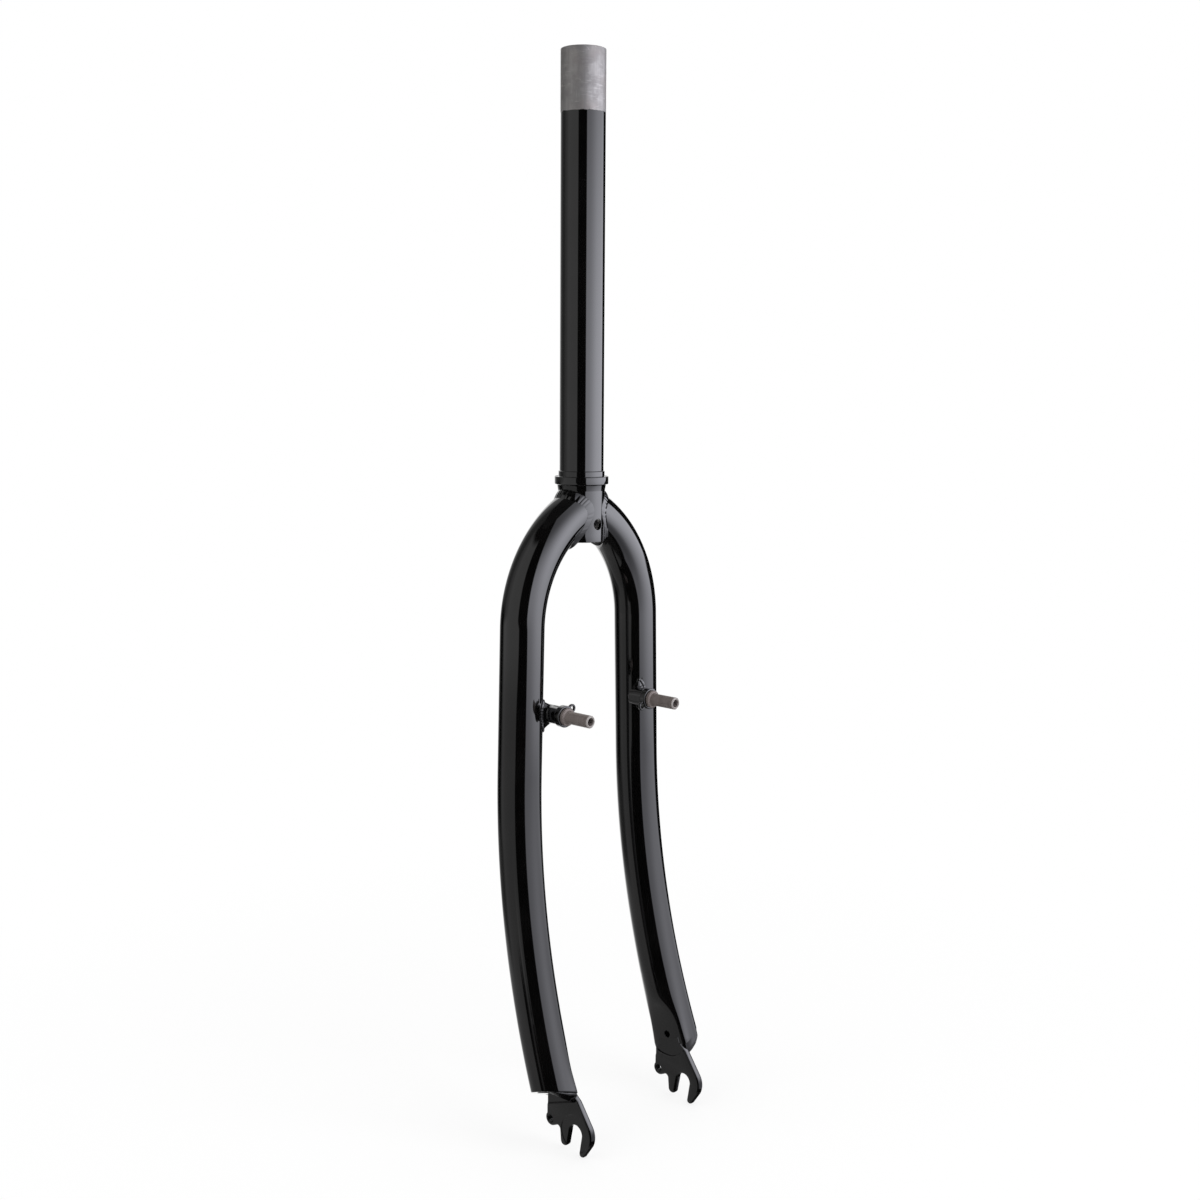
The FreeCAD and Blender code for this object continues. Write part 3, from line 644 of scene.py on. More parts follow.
def smooth_line(points, count):
    """Line through points by cubics, whose slope at a point is half the step between its neighbours."""
    padded = np.vstack((2 * points[0] - points[1], points, 2 * points[-1] - points[-2]))
    place = np.linspace(0.0, len(points) - 1.000001, count)
    first = place.astype(int)
    t = (place - first)[:, None]
    a, b, c, d = (padded[first + step] for step in range(4))
    return b + 0.5 * t * (c - a + t * (2 * a - 5 * b + 4 * c - d + t * (3 * (b - c) + d - a)))


HOLE_ROW = 0.5 * MM
HOLE_ROWS = 14
HOLE_HALF = 6


def steerer_profile(size):
    """Outside and inside of the turned tube as (radius, height), with rows close round the crown hole."""
    edge = size.edge
    flange = size.flange - 0.01 * MM
    rows = -size.hole_drop + np.arange(-HOLE_ROWS, HOLE_ROWS + 1) * HOLE_ROW
    seat_top = size.seat_height
    return rounded((
        (size.foot, -size.bottom, edge),
        *((size.foot, row, 0.0) for row in rows),
        (size.foot, -18.0 * MM, 0.0),
        (size.foot, -size.flange_height - size.neck_height, 1.5 * MM),
        (size.neck, -size.flange_height, 0.7 * MM),
        (flange, -size.flange_height, edge),
        (flange, 0.0, edge),
        (size.seat, 0.0, 0.25 * MM),
        (size.seat, seat_top, 0.4 * MM),
        (size.radius, seat_top, 0.25 * MM),
        *((size.radius, row, 0.0) for row in np.linspace(0.02, size.top - 0.01, 12)),
        (size.radius, size.top, 0.4 * MM),
        (size.bore, size.top, 0.3 * MM),
        (size.bore, size.top - 0.02, 0.0),
        *((size.bore, row, 0.0) for row in rows[::-1]),
        (size.bore, -size.bottom, 0.3 * MM),
    ))


def steerer_shell(size):
    """Profile turned about Z: (r sin a, -r cos a, z), with the crown hole opened through front and back."""
    profile = steerer_profile(size)
    turn = circle(AROUND)
    radius = profile[:, 0][:, None] + 0 * turn
    height = profile[:, 1][:, None] + 0 * turn
    across = radius * np.sin(turn)
    close = np.abs(np.sin(turn)) < 0.6
    lip = 0.3 * MM
    from_hole = np.abs(profile[:, 1] + size.hole_drop)
    hole_rows = []
    for wall_radius, hole in ((size.foot, size.hole + lip), (size.bore, size.hole)):
        wall = np.isclose(profile[:, 0], wall_radius)
        hole_rows.append(int(np.argmin(np.where(wall, from_hole, 1.0))))
        near = wall & (from_hole < (HOLE_ROWS + 0.4) * HOLE_ROW)
        half_across = wall_radius * math.sin(HOLE_HALF * TAU / AROUND)
        rise = height[near] + size.hole_drop
        bent, lifted = open_hole(across[near], rise, half_across, HOLE_HALF * HOLE_ROW, hole)
        across[near] = np.where(close, bent, across[near])
        height[near] = np.where(close, lifted - size.hole_drop, height[near])
    depth = np.sqrt(np.maximum(radius * radius - across * across, 0.0)) * np.sign(np.cos(turn))
    points = np.stack((across, -depth, height), -1)
    shell = Shell()
    keep = np.ones(points.shape[:2], bool)
    centre = np.array((0.0, 0.0, -size.hole_drop))
    for column, sign in ((0, 1.0), (AROUND // 2, -1.0)):
        (outer, outer_cells), (inner, inner_cells) = (
            block_ring(points, row, column, HOLE_HALF) for row in hole_rows
        )
        keep[outer_cells] = False
        keep[inner_cells] = False
        ray = unit((outer - centre) * (1.0, 0.0, 1.0))
        wall_rows = [outer]
        for grow, sink in ((0.09 * MM, 0.09 * MM), (0.0, lip)):
            ring = centre + ray * (size.hole + grow)
            ring[:, 1] = -sign * (np.sqrt(size.foot ** 2 - ring[:, 0] ** 2) - sink)
            wall_rows.append(ring)
        end = centre + ray * size.hole
        end[:, 1] = -sign * np.sqrt(size.bore ** 2 - end[:, 0] ** 2)
        nearest = np.argmin(np.linalg.norm(end[:, None] - inner[None], axis=2), axis=1)
        wall_rows.append(inner[nearest])
        shell.add_grid(np.stack(wall_rows))
    shell.add_grid(points, loop_rows=True, keep=keep)
    return shell


class BladeShape:
    """Left blade as a surface of its length s and the angle a round it.

    The axis is an arc down from the steerer, a straight run that leans outwards, and an arc forward.
    A point is axis + radius (cos a . outward + sin a . frontward), pushed out to the die where that is
    further from the middle. Near the end the flat's rear corner is then pushed back and its front corner
    forward. s is 0 where the crown bend ends.
    """

    bulge_turn = math.radians(236.0)
    bulge_wide = math.radians(52.0)
    lead_turn = math.radians(128.0)
    lead_wide = math.radians(40.0)

    def __init__(self, size, foot, free, end_depth):
        self.size = size
        self.foot = foot
        self.free = free
        self.end_depth = end_depth
        drop = size.end_drop - size.crown_drop
        self.lean = math.atan((size.end_across - size.spread) / drop)
        lean_cos = math.cos(self.lean)
        lean_sin = math.sin(self.lean)
        across = foot - size.spread
        rise = size.crown_drop - size.top_drop
        self.crown = (across ** 2 + rise ** 2 - size.radius ** 2) / (
            2 * (size.radius - across * lean_cos - rise * lean_sin)
        )
        self.crown_turn = math.acos(lean_cos - size.spread / self.crown) - self.lean
        self.down = np.array((lean_sin, 0.0, -lean_cos))
        self.run = (size.rake_drop - size.crown_drop) / lean_cos
        reach = (size.end_drop - size.rake_drop) / lean_cos
        self.rake = (reach ** 2 + size.end_forward ** 2) / (2 * size.end_forward)
        self.tilt = 2 * math.atan(size.end_forward / reach)
        self.end = self.run + self.rake * self.tilt
        self.centre = np.array((
            size.spread - self.crown * lean_cos, 0.0, -size.crown_drop - self.crown * lean_sin
        ))
        self.end_point = np.array((size.end_across, -size.end_forward, -size.end_drop))
        along = math.cos(self.tilt) * self.down + math.sin(self.tilt) * FORWARD
        self.end_up = unit(-along * (0.0, 1.0, 1.0))
        self.end_front = np.cross((1.0, 0.0, 0.0), self.end_up)

    def frame(self, s):
        """Axis, outward and frontward directions at length s."""
        bend = np.clip(-s, 0.0, None) / self.crown
        straight = np.clip(s, 0.0, self.run)
        swing = np.clip(s - self.run, 0.0, None) / self.rake
        zero = np.zeros_like(bend)
        outward = np.stack((np.cos(self.lean + bend), zero, np.sin(self.lean + bend)), -1)
        axis = self.centre + self.crown * outward
        axis = axis + (straight + self.rake * np.sin(swing))[..., None] * self.down
        axis = axis + (self.rake * (1 - np.cos(swing)))[..., None] * FORWARD
        frontward = np.cos(swing)[..., None] * FORWARD - np.sin(swing)[..., None] * self.down
        return axis, outward, frontward

    def seam(self, turn):
        """1 on the outside and front, where the rim stands free of the end weld, and 0 inside."""
        return smooth_step(self.free, self.free + 0.5, np.cos(turn))

    def rise(self, points):
        """Height above the lower end, square to that end."""
        return (points - self.end_point) @ self.end_up

    def press(self, points):
        """Push points out to the die: a flat that runs out upwards on an arc."""
        size = self.size
        over = np.clip((self.rise(points) - size.flat_rise) / size.runout, 0.0, 0.87)
        die = size.flat - size.runout * (1 - np.sqrt(1 - over * over))
        gap = points[..., 0] - die
        pressed = points.copy()
        pressed[..., 0] = die + 0.5 * (gap + np.sqrt(gap * gap + size.press_edge ** 2))
        return np.where((self.rise(points) < 0.05)[..., None], pressed, points)

    def surface(self, s, a, grow=0.0, full=1.0):
        """Points at length s and angle a; grow adds to the radius and full scales the bulges.

        A bulge is 1 at its own angle and 0 at its width from there, and fades as exp(-height / reach).
        """
        size = self.size
        axis, outward, frontward = self.frame(s)
        ray = np.cos(a)[..., None] * outward + np.sin(a)[..., None] * frontward
        pressed = self.press(axis + np.asarray(size.radius + grow)[..., None] * ray)
        angle_round = np.mod(a, TAU)
        lead = smooth_step(0.0, 1.0, 1 - np.abs(angle_round - self.lead_turn) / self.lead_wide)
        bulge = smooth_step(0.0, 1.0, 1 - np.abs(angle_round - self.bulge_turn) / self.bulge_wide)
        over = np.clip(self.end - s, 0.0, None) / size.bulge_reach
        moved = size.lead * lead - size.bulge * bulge
        return pressed + (full * moved * np.exp(-over) * (over < 6))[..., None] * frontward

    def solve(self, a, low, high, test):
        """Length at which the line at angle a crosses a limit; the test is above 0 at high."""
        return halved(a, low, high, lambda s: test(self.surface(s, a)) > 0)

    def mitre(self, a):
        """Length at which the blade meets the steerer's foot."""
        def outside(points):
            return np.hypot(points[..., 0], points[..., 1]) - self.foot
        return self.solve(a, -self.crown * self.crown_turn, 0.0, outside)

    def near_end(self, a, below):
        """Length near the lower end at which the line at angle a comes below a limit."""
        return self.solve(a, self.end - 30 * MM, self.end + 24 * MM, below)

    def slant_end(self, a):
        """Length at which the blade meets the slanted plane through its lower end."""
        slope = math.tan(self.size.end_slant)

        def below(points):
            return slope * (points[..., 0] - self.size.end_across) - self.rise(points)
        return self.near_end(a, below)


def blade_shape(name):
    """Shape of the blade with its welds as they are laid on that side, in the left one's place."""
    fork = settings()
    laid = LAID[name]
    return BladeShape(fork.blade, fork.steerer.foot, laid["free"], fork.weld.end_depth - laid["floor_rise"])


CROWN_ROWS = 75
RUN_ROWS = 8
RAKE_ROWS = 73
END_ROWS = 39
RIM_ROWS = 5
VENT_ROWS = 20
VENT_HALF = 4
VENT_BEND = 12
PAINT_GAP = 0.045 * MM


def blade_shell(shape):
    """Blade from its mitre to its slanted end, with the vent opened in the pressed flat."""
    size = shape.size
    turn = circle(AROUND)
    top = shape.mitre(turn)
    end = shape.slant_end(turn)
    inside = AROUND // 2
    vent = shape.end - size.vent_rise
    step = (end[inside] - vent) / VENT_ROWS
    middle = end[inside] - END_ROWS * step
    crown_rows = top[None] * (1 - np.linspace(0.0, 1.0, CROWN_ROWS + 1))[:, None]
    run_rows = np.linspace(0.0, shape.run, RUN_ROWS + 1)[1:, None] + 0 * turn
    rake_rows = np.linspace(shape.run, middle, RAKE_ROWS + 1)[1:, None] + 0 * turn
    rim = size.rim * shape.seam(turn)
    end_rows = middle + np.linspace(0.0, 1.0, END_ROWS + 1)[1:, None] * (end - rim - middle)
    curl = np.linspace(0.0, np.pi / 2, RIM_ROWS + 1)[1:, None]
    s = np.vstack((crown_rows, run_rows, rake_rows, end_rows, end - rim * (1 - np.sin(curl))))
    a = np.tile(turn, (len(s), 1))
    grow = np.full_like(s, -PAINT_GAP)
    grow[-RIM_ROWS:] -= rim * (1 - np.cos(curl))
    row = len(s) - 1 - RIM_ROWS - VENT_ROWS
    rows = slice(row - VENT_BEND, row + VENT_BEND + 1)
    columns = slice(inside - VENT_BEND, inside + VENT_BEND + 1)
    near = rows, columns
    lip = 0.25 * MM
    across = size.radius * np.sin(a[near] - np.pi)
    half_across = size.radius * math.sin(VENT_HALF * TAU / AROUND)
    bent, lifted = open_hole(across, s[near] - vent, half_across, VENT_HALF * step, size.vent + lip)
    a[near] = np.pi + np.arcsin(bent / size.radius)
    s[near] = vent + lifted
    points = shape.surface(s, a, grow)
    edge, cells = block_ring(points, row, inside, VENT_HALF)
    keep = np.ones((len(s) - 1, AROUND), bool)
    keep[cells] = False
    shell = Shell()
    shell.add_grid(points, keep=keep)
    centre = edge.mean(0)
    ray = unit(edge - centre)
    rings = [edge]
    for wider, sink in ((0.06, 0.06), (0.0, 0.25), (0.0, 1.3), (1.2, 1.9), (1.2, 7.0)):
        rings.append(centre + ray * (size.vent + wider * MM) + np.array((sink * MM, 0.0, 0.0)))
    shell.add_grid(np.stack(rings))
    shell.add_fan(rings[-1])
    shell.add_fan(points[0])
    shell.add_fan(points[-1])
    return shell


def ripple(distance, pitch, seed):
    """Height of a hand laid bead along its length: round ripples that vary a little in place and size."""
    drift = 0.35 * np.sin(distance / pitch * 0.83 + seed) + 0.22 * np.sin(distance / pitch * 1.9 + 2 * seed)
    phase = distance / pitch + drift
    return np.abs(np.sin(np.pi * phase)) - 0.6 + 0.25 * np.sin(0.37 * phase + seed)


def along_loop(points):
    """Distance of each point from the first, along the line through them."""
    steps = np.linalg.norm(np.roll(points, -1, 0) - points, axis=1)
    return np.concatenate(([0.0], np.cumsum(steps)[:-1]))


def crown_weld_shell(shape, weld, laid):
    """Bead carried round the mitre.

    Its section runs from a point on the blade to a point on the steerer along a curve drawn towards the
    corner between them, and closes underneath. It is full and rippled on top and hollow in the crotch.
    """
    turn = circle(360)
    s = shape.mitre(turn)
    corner = shape.surface(s, turn)
    away_blade = unit(shape.surface(s + 1e-4, turn) - corner)
    run = unit(np.roll(corner, -1, 0) - np.roll(corner, 1, 0))
    spoke = unit(corner * (1.0, 1.0, 0.0))
    away_foot = unit(np.cross(run, spoke))
    inwards = np.sum(away_foot * (corner - corner.mean(0)), axis=1) < 0
    away_foot = np.where(inwards[:, None], -away_foot, away_foot)
    top = (0.5 + 0.5 * np.cos(turn)) ** 2
    crotch = (0.5 - 0.5 * np.cos(turn)) ** 2
    beads = ripple(along_loop(corner), weld.crown_ripple, 1.7)
    beads = beads * (1 - smooth_step(-0.35, 0.75, -np.cos(turn)))
    reach = weld.crown + (weld.crown_crotch - weld.crown) * crotch
    run_out = reach + (weld.crown_top - weld.crown) * top + 1.6 * MM * crotch + 0.4 * MM * beads
    along_axis = run_out * shape.crown / (shape.crown + shape.size.radius * np.cos(turn))
    on_blade = shape.surface(s + along_axis, turn)
    on_foot_reach = weld.crown + (laid["hang"] - weld.crown) * crotch + 1.0 * MM * top + 0.2 * MM * beads
    on_foot = corner + away_foot * on_foot_reach[:, None]
    front = np.clip(np.sin(turn), 0.0, 1.0) ** 2
    swell = 0.46 + 0.22 * top - laid["hollow"] * crotch + laid["front_swell"] * front + 0.13 * beads
    pull = corner + swell[:, None] * (on_blade + on_foot - 2 * corner)
    share = np.linspace(0.0, 1.0, 13)[:, None, None]
    curve = (1 - share) ** 2 * on_blade + 2 * share * (1 - share) * pull + share ** 2 * on_foot
    sink = 0.25 * MM
    under = corner - 1.4 * sink * unit(away_blade + away_foot)
    sink_blade = on_blade + sink * unit(shape.frame(s)[0] - on_blade)
    sink_foot = on_foot - sink * spoke
    section = np.concatenate((sink_blade[None], curve, sink_foot[None], under[None]))
    shell = Shell()
    shell.add_grid(section, loop_rows=True)
    return shell


def end_weld_shell(shape, weld, size):
    """Weld under the front of the blade's slanted end, and the ridge of the weld inside the dropout.

    A band runs down the blade's outline from the slanted end to a floor that is level from front to back
    and slopes across the fork. Where the rim is free the band lies back from it, behind a groove. The
    underside is the lower of the two planes, softened along their meeting.
    """
    turn = circle(288)
    start = shape.slant_end(turn)
    slope = math.tan(weld.end_slant)
    base = shape.end_point - (0.0, 0.0, shape.end_depth)

    def below(points):
        return slope * (points[..., 0] - base[0]) - (points[..., 2] - base[2])
    finish = np.maximum(shape.near_end(turn, below), start + 0.1 * MM)
    depth = finish - start
    beads = ripple(along_loop(shape.surface(finish, turn)), weld.end_ripple, 0.6)
    rows = []
    for share in np.linspace(0.0, 1.0, 9):
        # millimetres from the blade's outline, where the rim is covered and where it is free
        flush = -0.12 - 0.9 * max(share - 0.62, 0.0) ** 2 / 0.145
        sunk = -0.5 - 0.8 * math.exp(-share / 0.09) - 2.9 * share
        lie = flush + shape.seam(turn) * (sunk - flush)
        wave = 0.10 * beads * math.sin(math.pi * share) * np.clip(depth / (2 * MM), 0.0, 1.0)
        rows.append(shape.surface(start + share * depth, turn, (lie + wave) * MM, 1 - share))
    edge = rows[-1]
    middle = edge.mean(0)
    for share in (0.96, 0.9, 0.8, 0.65, 0.45, 0.2):
        point = middle + share * (edge - middle)
        across = point[:, 0] - shape.end_point[0]
        ahead = (point - shape.end_point) @ shape.end_front
        blade = across * math.tan(shape.size.end_slant) - 0.1 * MM
        floor = (across * slope - shape.end_depth - ahead * shape.end_front[2]) / shape.end_up[2]
        gap = blade - floor
        level = blade - 0.5 * (gap + np.sqrt(gap * gap + (0.8 * MM) ** 2)) - 0.25 * MM * (1 - share ** 3)
        rows.append(point + (level - shape.rise(point))[:, None] * shape.end_up)
    shell = Shell()
    shell.add_closed(np.stack(rows))
    line = smooth_line(size.inner_weld_line(), 90)
    ridge = np.column_stack((np.full(len(line), size.inner + 0.3 * MM), line + size.axle()))
    shell.add_tube(ridge, 0.45 * MM * (1 + 0.18 * ripple(along_loop(ridge), weld.end_ripple, 2.1)))
    return shell


def arc_points(start, end, radius, turn, steps):
    """Points of an arc shorter than half a circle; turn is +1 to the left and -1 to the right."""
    start = np.array(start)
    end = np.array(end)
    chord = end - start
    long = np.linalg.norm(chord)
    left = np.array((-chord[1], chord[0])) / long
    height = math.sqrt(max(radius ** 2 - long ** 2 / 4, 0.0))
    centre = 0.5 * (start + end) + left * turn * height
    first = math.atan2(*(start - centre)[::-1])
    sweep = 2 * math.asin(min(long / (2 * radius), 1.0)) * turn
    angles = first + np.linspace(0.0, sweep, steps, endpoint=False)
    return centre + radius * np.stack((np.cos(angles), np.sin(angles)), -1)


def dropout_outline(size, shape):
    """Outline about the axle as (back, rise): rear edge, eyelet, tab, slot, hook, front edge and tang."""
    def polar(radius, turn):
        return np.array((radius * math.cos(turn), radius * math.sin(turn)))

    sine, cosine = math.sin(shape.tilt), math.cos(shape.tilt)
    end = shape.end_point[1:] - size.axle()

    def up_blade(ahead, rise):
        """Point in front of the blade's axis and above its lower end, square to that end."""
        return end + np.array((rise * sine - ahead * cosine, rise * cosine + ahead * sine))
    lean = size.eyelet_lean
    shoulder_back = (size.shoulder - size.back * sine) / cosine
    lobe = size.back - size.eyelet_back
    lobe_top = size.eyelet_rise + math.sqrt(size.eyelet ** 2 - lobe ** 2)
    eyelet = np.array((size.eyelet_back, size.eyelet_rise))
    under = eyelet - size.eyelet * np.array((math.sin(lean), math.cos(lean)))
    run = (under[0] - size.tab_root * math.sin(lean) - size.tab_back - size.tab_root) / math.cos(lean)
    root = under + run * np.array((-math.cos(lean), math.sin(lean)))
    tab_side = size.tab_tip - size.tab_length
    tab_middle = size.tab_back - size.tab_half
    hook = np.array((-size.hook_lead, size.hook_rise))
    heel = hook + polar(size.hook, math.pi + size.heel)
    front = hook + polar(size.hook, math.pi - size.front_lean)
    height = front[0] * sine + front[1] * cosine
    climb = (size.shoulder - height) / math.cos(size.front_lean - shape.tilt)
    tip = np.array((-size.tip_lead, -size.tip_drop))
    rim = (size.inner + 0.5 * MM - shape.end_point[0]) * math.tan(shape.size.end_slant)
    corners = (
        ((size.back, shoulder_back), None),
        ((size.back, lobe_top), (size.eyelet, -1)),
        ((size.eyelet_back + size.eyelet, size.eyelet_rise), (size.eyelet, -1)),
        (under, None),
        (root, (size.tab_root, 1)),
        ((size.tab_back, root[1] - size.tab_root * math.cos(lean)), None),
        ((tab_middle + size.tab_tip, tab_side), (size.tab_tip, -1)),
        ((tab_middle, -size.tab_length), (size.tab_tip, -1)),
        ((tab_middle - size.tab_tip, tab_side), None),
        ((size.slot, 0.0), (size.slot, 1)),
        ((0.0, size.slot), (size.slot, 1)),
        ((-size.slot, 0.0), None),
        (tip + polar(size.tip, size.hook_lean), (size.tip, -1)),
        (tip + polar(size.tip, math.pi + size.heel), None),
        (heel, (size.hook, -1)),
        (front, None),
        (front + climb * np.array((math.sin(size.front_lean), math.cos(size.front_lean))), None),
        (up_blade(size.tang_front, rim), None),
        (up_blade(size.tang_front - 0.3 * MM, rim + 1.2 * MM), None),
        (up_blade(size.tongue, rim + 2.0 * MM), None),
        (up_blade(size.tongue, rim + 6.0 * MM), None),
        (up_blade(-size.tongue, rim + 6.0 * MM), None),
        (up_blade(-size.tongue, rim + 2.0 * MM), None),
        ((size.tang_back - 0.4 * MM, 18.1 * MM), None),
        ((size.tang_back, 17.0 * MM), None),
        ((size.tang_back, shoulder_back + 1.1 * MM), None),
    )
    pieces = []
    for (place, bend), (following, _) in zip(corners, corners[1:] + corners[:1]):
        if bend is None:
            pieces.append(np.array(place)[None])
        else:
            pieces.append(arc_points(place, following, bend[0], bend[1], 16))
    return np.vstack(pieces)


def inset(outline, depth):
    """Outline moved inwards: a corner goes along the sum of its edges' normals over 1 + their product."""
    edge = unit(np.roll(outline, -1, 0) - outline)
    normal = np.stack((edge[:, 1], -edge[:, 0]), -1)
    area = np.sum(outline[:, 0] * np.roll(outline[:, 1], -1) - np.roll(outline[:, 0], -1) * outline[:, 1])
    normal = -normal if area > 0 else normal
    before = np.roll(normal, 1, 0)
    scale = 1 + np.sum(before * normal, axis=1, keepdims=True)
    return outline + depth * (before + normal) / np.maximum(scale, 0.35)


def plate_rings(outline, thickness, edge, steps=5):
    """Edge of a plate as rings of (depth, outline): a quarter round, the side and another quarter round."""
    turn = np.linspace(0.0, np.pi / 2, steps)
    quarter = [(edge * (1 - math.sin(step)), edge * (1 - math.cos(step))) for step in turn]
    front = [(sink, inset(outline, cut)) for cut, sink in quarter]
    back = [(thickness - sink, inset(outline, cut)) for cut, sink in quarter[::-1]]
    return front + back


def thread_wave(depth, pitch, turn):
    """Triangle wave of a helical thread: |2 f - 1|, f the fraction of depth / pitch - angle / turn."""
    phase = depth / pitch - turn / TAU
    return np.abs(2 * (phase - np.floor(phase)) - 1)


def dropout_shell(size, shape):
    """Stamped plate with rounded edges and a tapped eyelet; its tang goes up into the blade.

    In the eyelet the radius is that of the hole less the thread's depth times its wave, faded at both ends.
    """
    outline = dropout_outline(size, shape)
    eyelet = np.array((size.eyelet_back, size.eyelet_rise))
    turn = circle(48)

    def lay(depth, ring):
        return np.column_stack((size.inner + depth + 0 * ring[:, 0], ring + size.axle()))

    shell = Shell()
    outer_rings = [lay(*ring) for ring in plate_rings(outline, size.thickness, size.edge)]
    lip = 0.25 * MM
    depth = np.linspace(lip, size.thickness - lip, 44)[:, None]
    start_fade = smooth_step(0.0, 0.5 * MM, depth - lip)
    end_fade = smooth_step(0.0, 0.5 * MM, size.thickness - lip - depth)
    radius = size.eyelet_hole - 0.4 * MM * start_fade * end_fade * thread_wave(depth, 0.8 * MM, turn)
    mouth = 0 * turn + size.eyelet_hole + lip
    radius = np.vstack((mouth, radius, mouth))
    depth = np.vstack(([[0.0]], depth, [[size.thickness]])) + 0 * turn
    hole = np.stack((
        size.inner + depth, eyelet[0] - size.rake + radius * np.cos(turn),
        eyelet[1] - size.axle_drop + radius * np.sin(turn),
    ), -1)
    shell.add_grid(np.stack(outer_rings))
    shell.add_grid(hole)
    shell.add_plate((outer_rings[0], hole[0]))
    shell.add_plate((outer_rings[-1], hole[-1]))
    return shell


def dropout_cutters(size, shape):
    """Closed tools that sink the tang's outer face, the inner face above its weld and the nut's seat."""
    shell = Shell()
    sine, cosine = math.sin(shape.tilt), math.cos(shape.tilt)
    outer = size.inner + size.thickness
    reach = 40 * MM
    overrun = np.array((6 * MM, 0.0))
    slope = 1.5 * size.ledge

    def prism(low, high, depths):
        """Closed prism between two outlines at two distances from the middle of the fork."""
        rings = [
            np.column_stack((np.full(len(ring), depth), ring + size.axle()))
            for ring, depth in zip((low, high), depths)
        ]
        shell.add_grid(np.stack(rings))
        for ring in rings:
            shell.add_plate((ring,))

    def above(foot):
        """Everything above a line square to the blade's end, as four corners."""
        back = np.array((-reach, reach, reach, -reach))
        height = np.array((foot, foot, reach, reach))
        return np.stack((back * cosine + height * sine, height * cosine - back * sine), -1)
    prism(
        above(size.shoulder + slope), above(size.shoulder - slope),
        (outer - size.ledge, outer + size.ledge),
    )
    line = smooth_line(size.inner_weld_line(), 40)
    line = np.vstack((line[0] + overrun, line, line[-1] - overrun))
    patch = np.vstack((line, line[[-1, 0]] + (0.0, reach)))
    prism(patch, patch, (size.inner - 2 * MM, size.inner + size.step))
    turn = circle(96)
    disc = np.stack((np.cos(turn), np.sin(turn)), -1)
    prism(
        (size.seat - size.seat_depth) * disc, (size.seat + size.seat_depth) * disc,
        (outer - size.seat_depth, outer + size.seat_depth),
    )
    return shell


def blank_of(mesh):
    """Object that carries a mesh while modifiers work on it."""
    return put_in(bpy.context.scene, mesh.name + "_blank", mesh)


def worked(blank, *tools):
    """Mesh that a blank's modifiers leave; the blank and its tools are cleared away."""
    graph = bpy.context.evaluated_depsgraph_get()
    mesh = bpy.data.meshes.new_from_object(blank.evaluated_get(graph))
    mesh.name = blank.data.name
    for item in (blank, *tools):
        bpy.data.objects.remove(item)
    return mesh


def cut_away(mesh, cutter):
    """The mesh with the cutter's volumes taken out of it."""
    blank = blank_of(mesh)
    tool = blank_of(cutter)
    taken = blank.modifiers.new("Sunk faces", "BOOLEAN")
    taken.operation = "DIFFERENCE"
    taken.solver = "EXACT"
    taken.object = tool
    result = worked(blank, tool)
    result.set_sharp_from_angle(angle=math.radians(STAMPED_SHARP))
    return result


def boss_bar_points(size, lead, turn):
    """Points of the boss's bar: a rounded square, |x/w|^p + |z/h|^p = 1 with p = 10/3.

    Its outer half flares towards the blade, with the share of the way from neck to foot to the power 1.5
    across the blade and 1.8 along it.
    """
    spread = np.clip((size.neck_lead - lead) / (size.neck_lead - size.foot_lead), 0.0, 1.4)
    outer = size.neck + (size.foot_reach - size.neck) * spread ** 1.5
    cosine = np.sign(np.cos(turn)) * np.abs(np.cos(turn)) ** 0.6
    sine = np.sign(np.sin(turn)) * np.abs(np.sin(turn)) ** 0.6
    foot = np.where(sine > 0, size.foot_high, size.foot_low)
    tall = size.neck + (foot - size.neck) * spread ** 1.8 * smooth_step(-0.7, 0.6, cosine)
    x = 0.5 * (outer - size.neck) + 0.5 * (outer + size.neck) * cosine
    return np.stack((x, -lead + 0 * turn, tall * sine), -1)


def turned(profile, around):
    """Profile (distance along -Y, radius) turned about the Y axis: rows of rings."""
    return rings_about_y(profile[:, :1], profile[:, 1:], circle(around))


def rings_about_y(lead, radius, turn):
    """Point (r cos a, -lead, r sin a) for each distance, radius and angle."""
    return np.stack((radius * np.cos(turn), -lead + 0 * turn, radius * np.sin(turn)), -1)


def ear_points(size, back):
    """Ear with its hole: rings about the hole whose reach is the lobe's, or runs on into the collar.

    Away from the collar the reach is the lobe's radius. Towards it the sides run straight, so the reach
    is the radius over the sine of the angle from the middle line, as far as the stud.
    """
    turn = circle(96)
    along_side = size.ear / np.maximum(np.abs(np.sin(turn)), 1e-3)
    to_stud = size.ear_distance / np.maximum(np.cos(turn), 1e-3)
    reach = np.where(np.cos(turn) > 0, np.minimum(along_side, to_stud), size.ear)
    hole = np.full_like(turn, size.ear_hole)
    edge = 0.45 * MM
    thick = size.ear_thickness
    section = (
        (hole, edge), (hole + edge, 0.0), (reach - edge, 0.0), (reach, edge),
        (reach, thick - edge), (reach - edge, thick), (hole + edge, thick), (hole, thick - edge),
    )
    points = np.stack([rings_about_y(back + sink, ring, turn) for ring, sink in section])
    heading = math.pi + size.ear_angle
    spin = heading + math.pi
    x, z = points[..., 0].copy(), points[..., 2].copy()
    points[..., 0] = x * math.cos(spin) - z * math.sin(spin) + size.ear_distance * math.cos(heading)
    points[..., 2] = x * math.sin(spin) + z * math.cos(spin) + size.ear_distance * math.sin(heading)
    return points


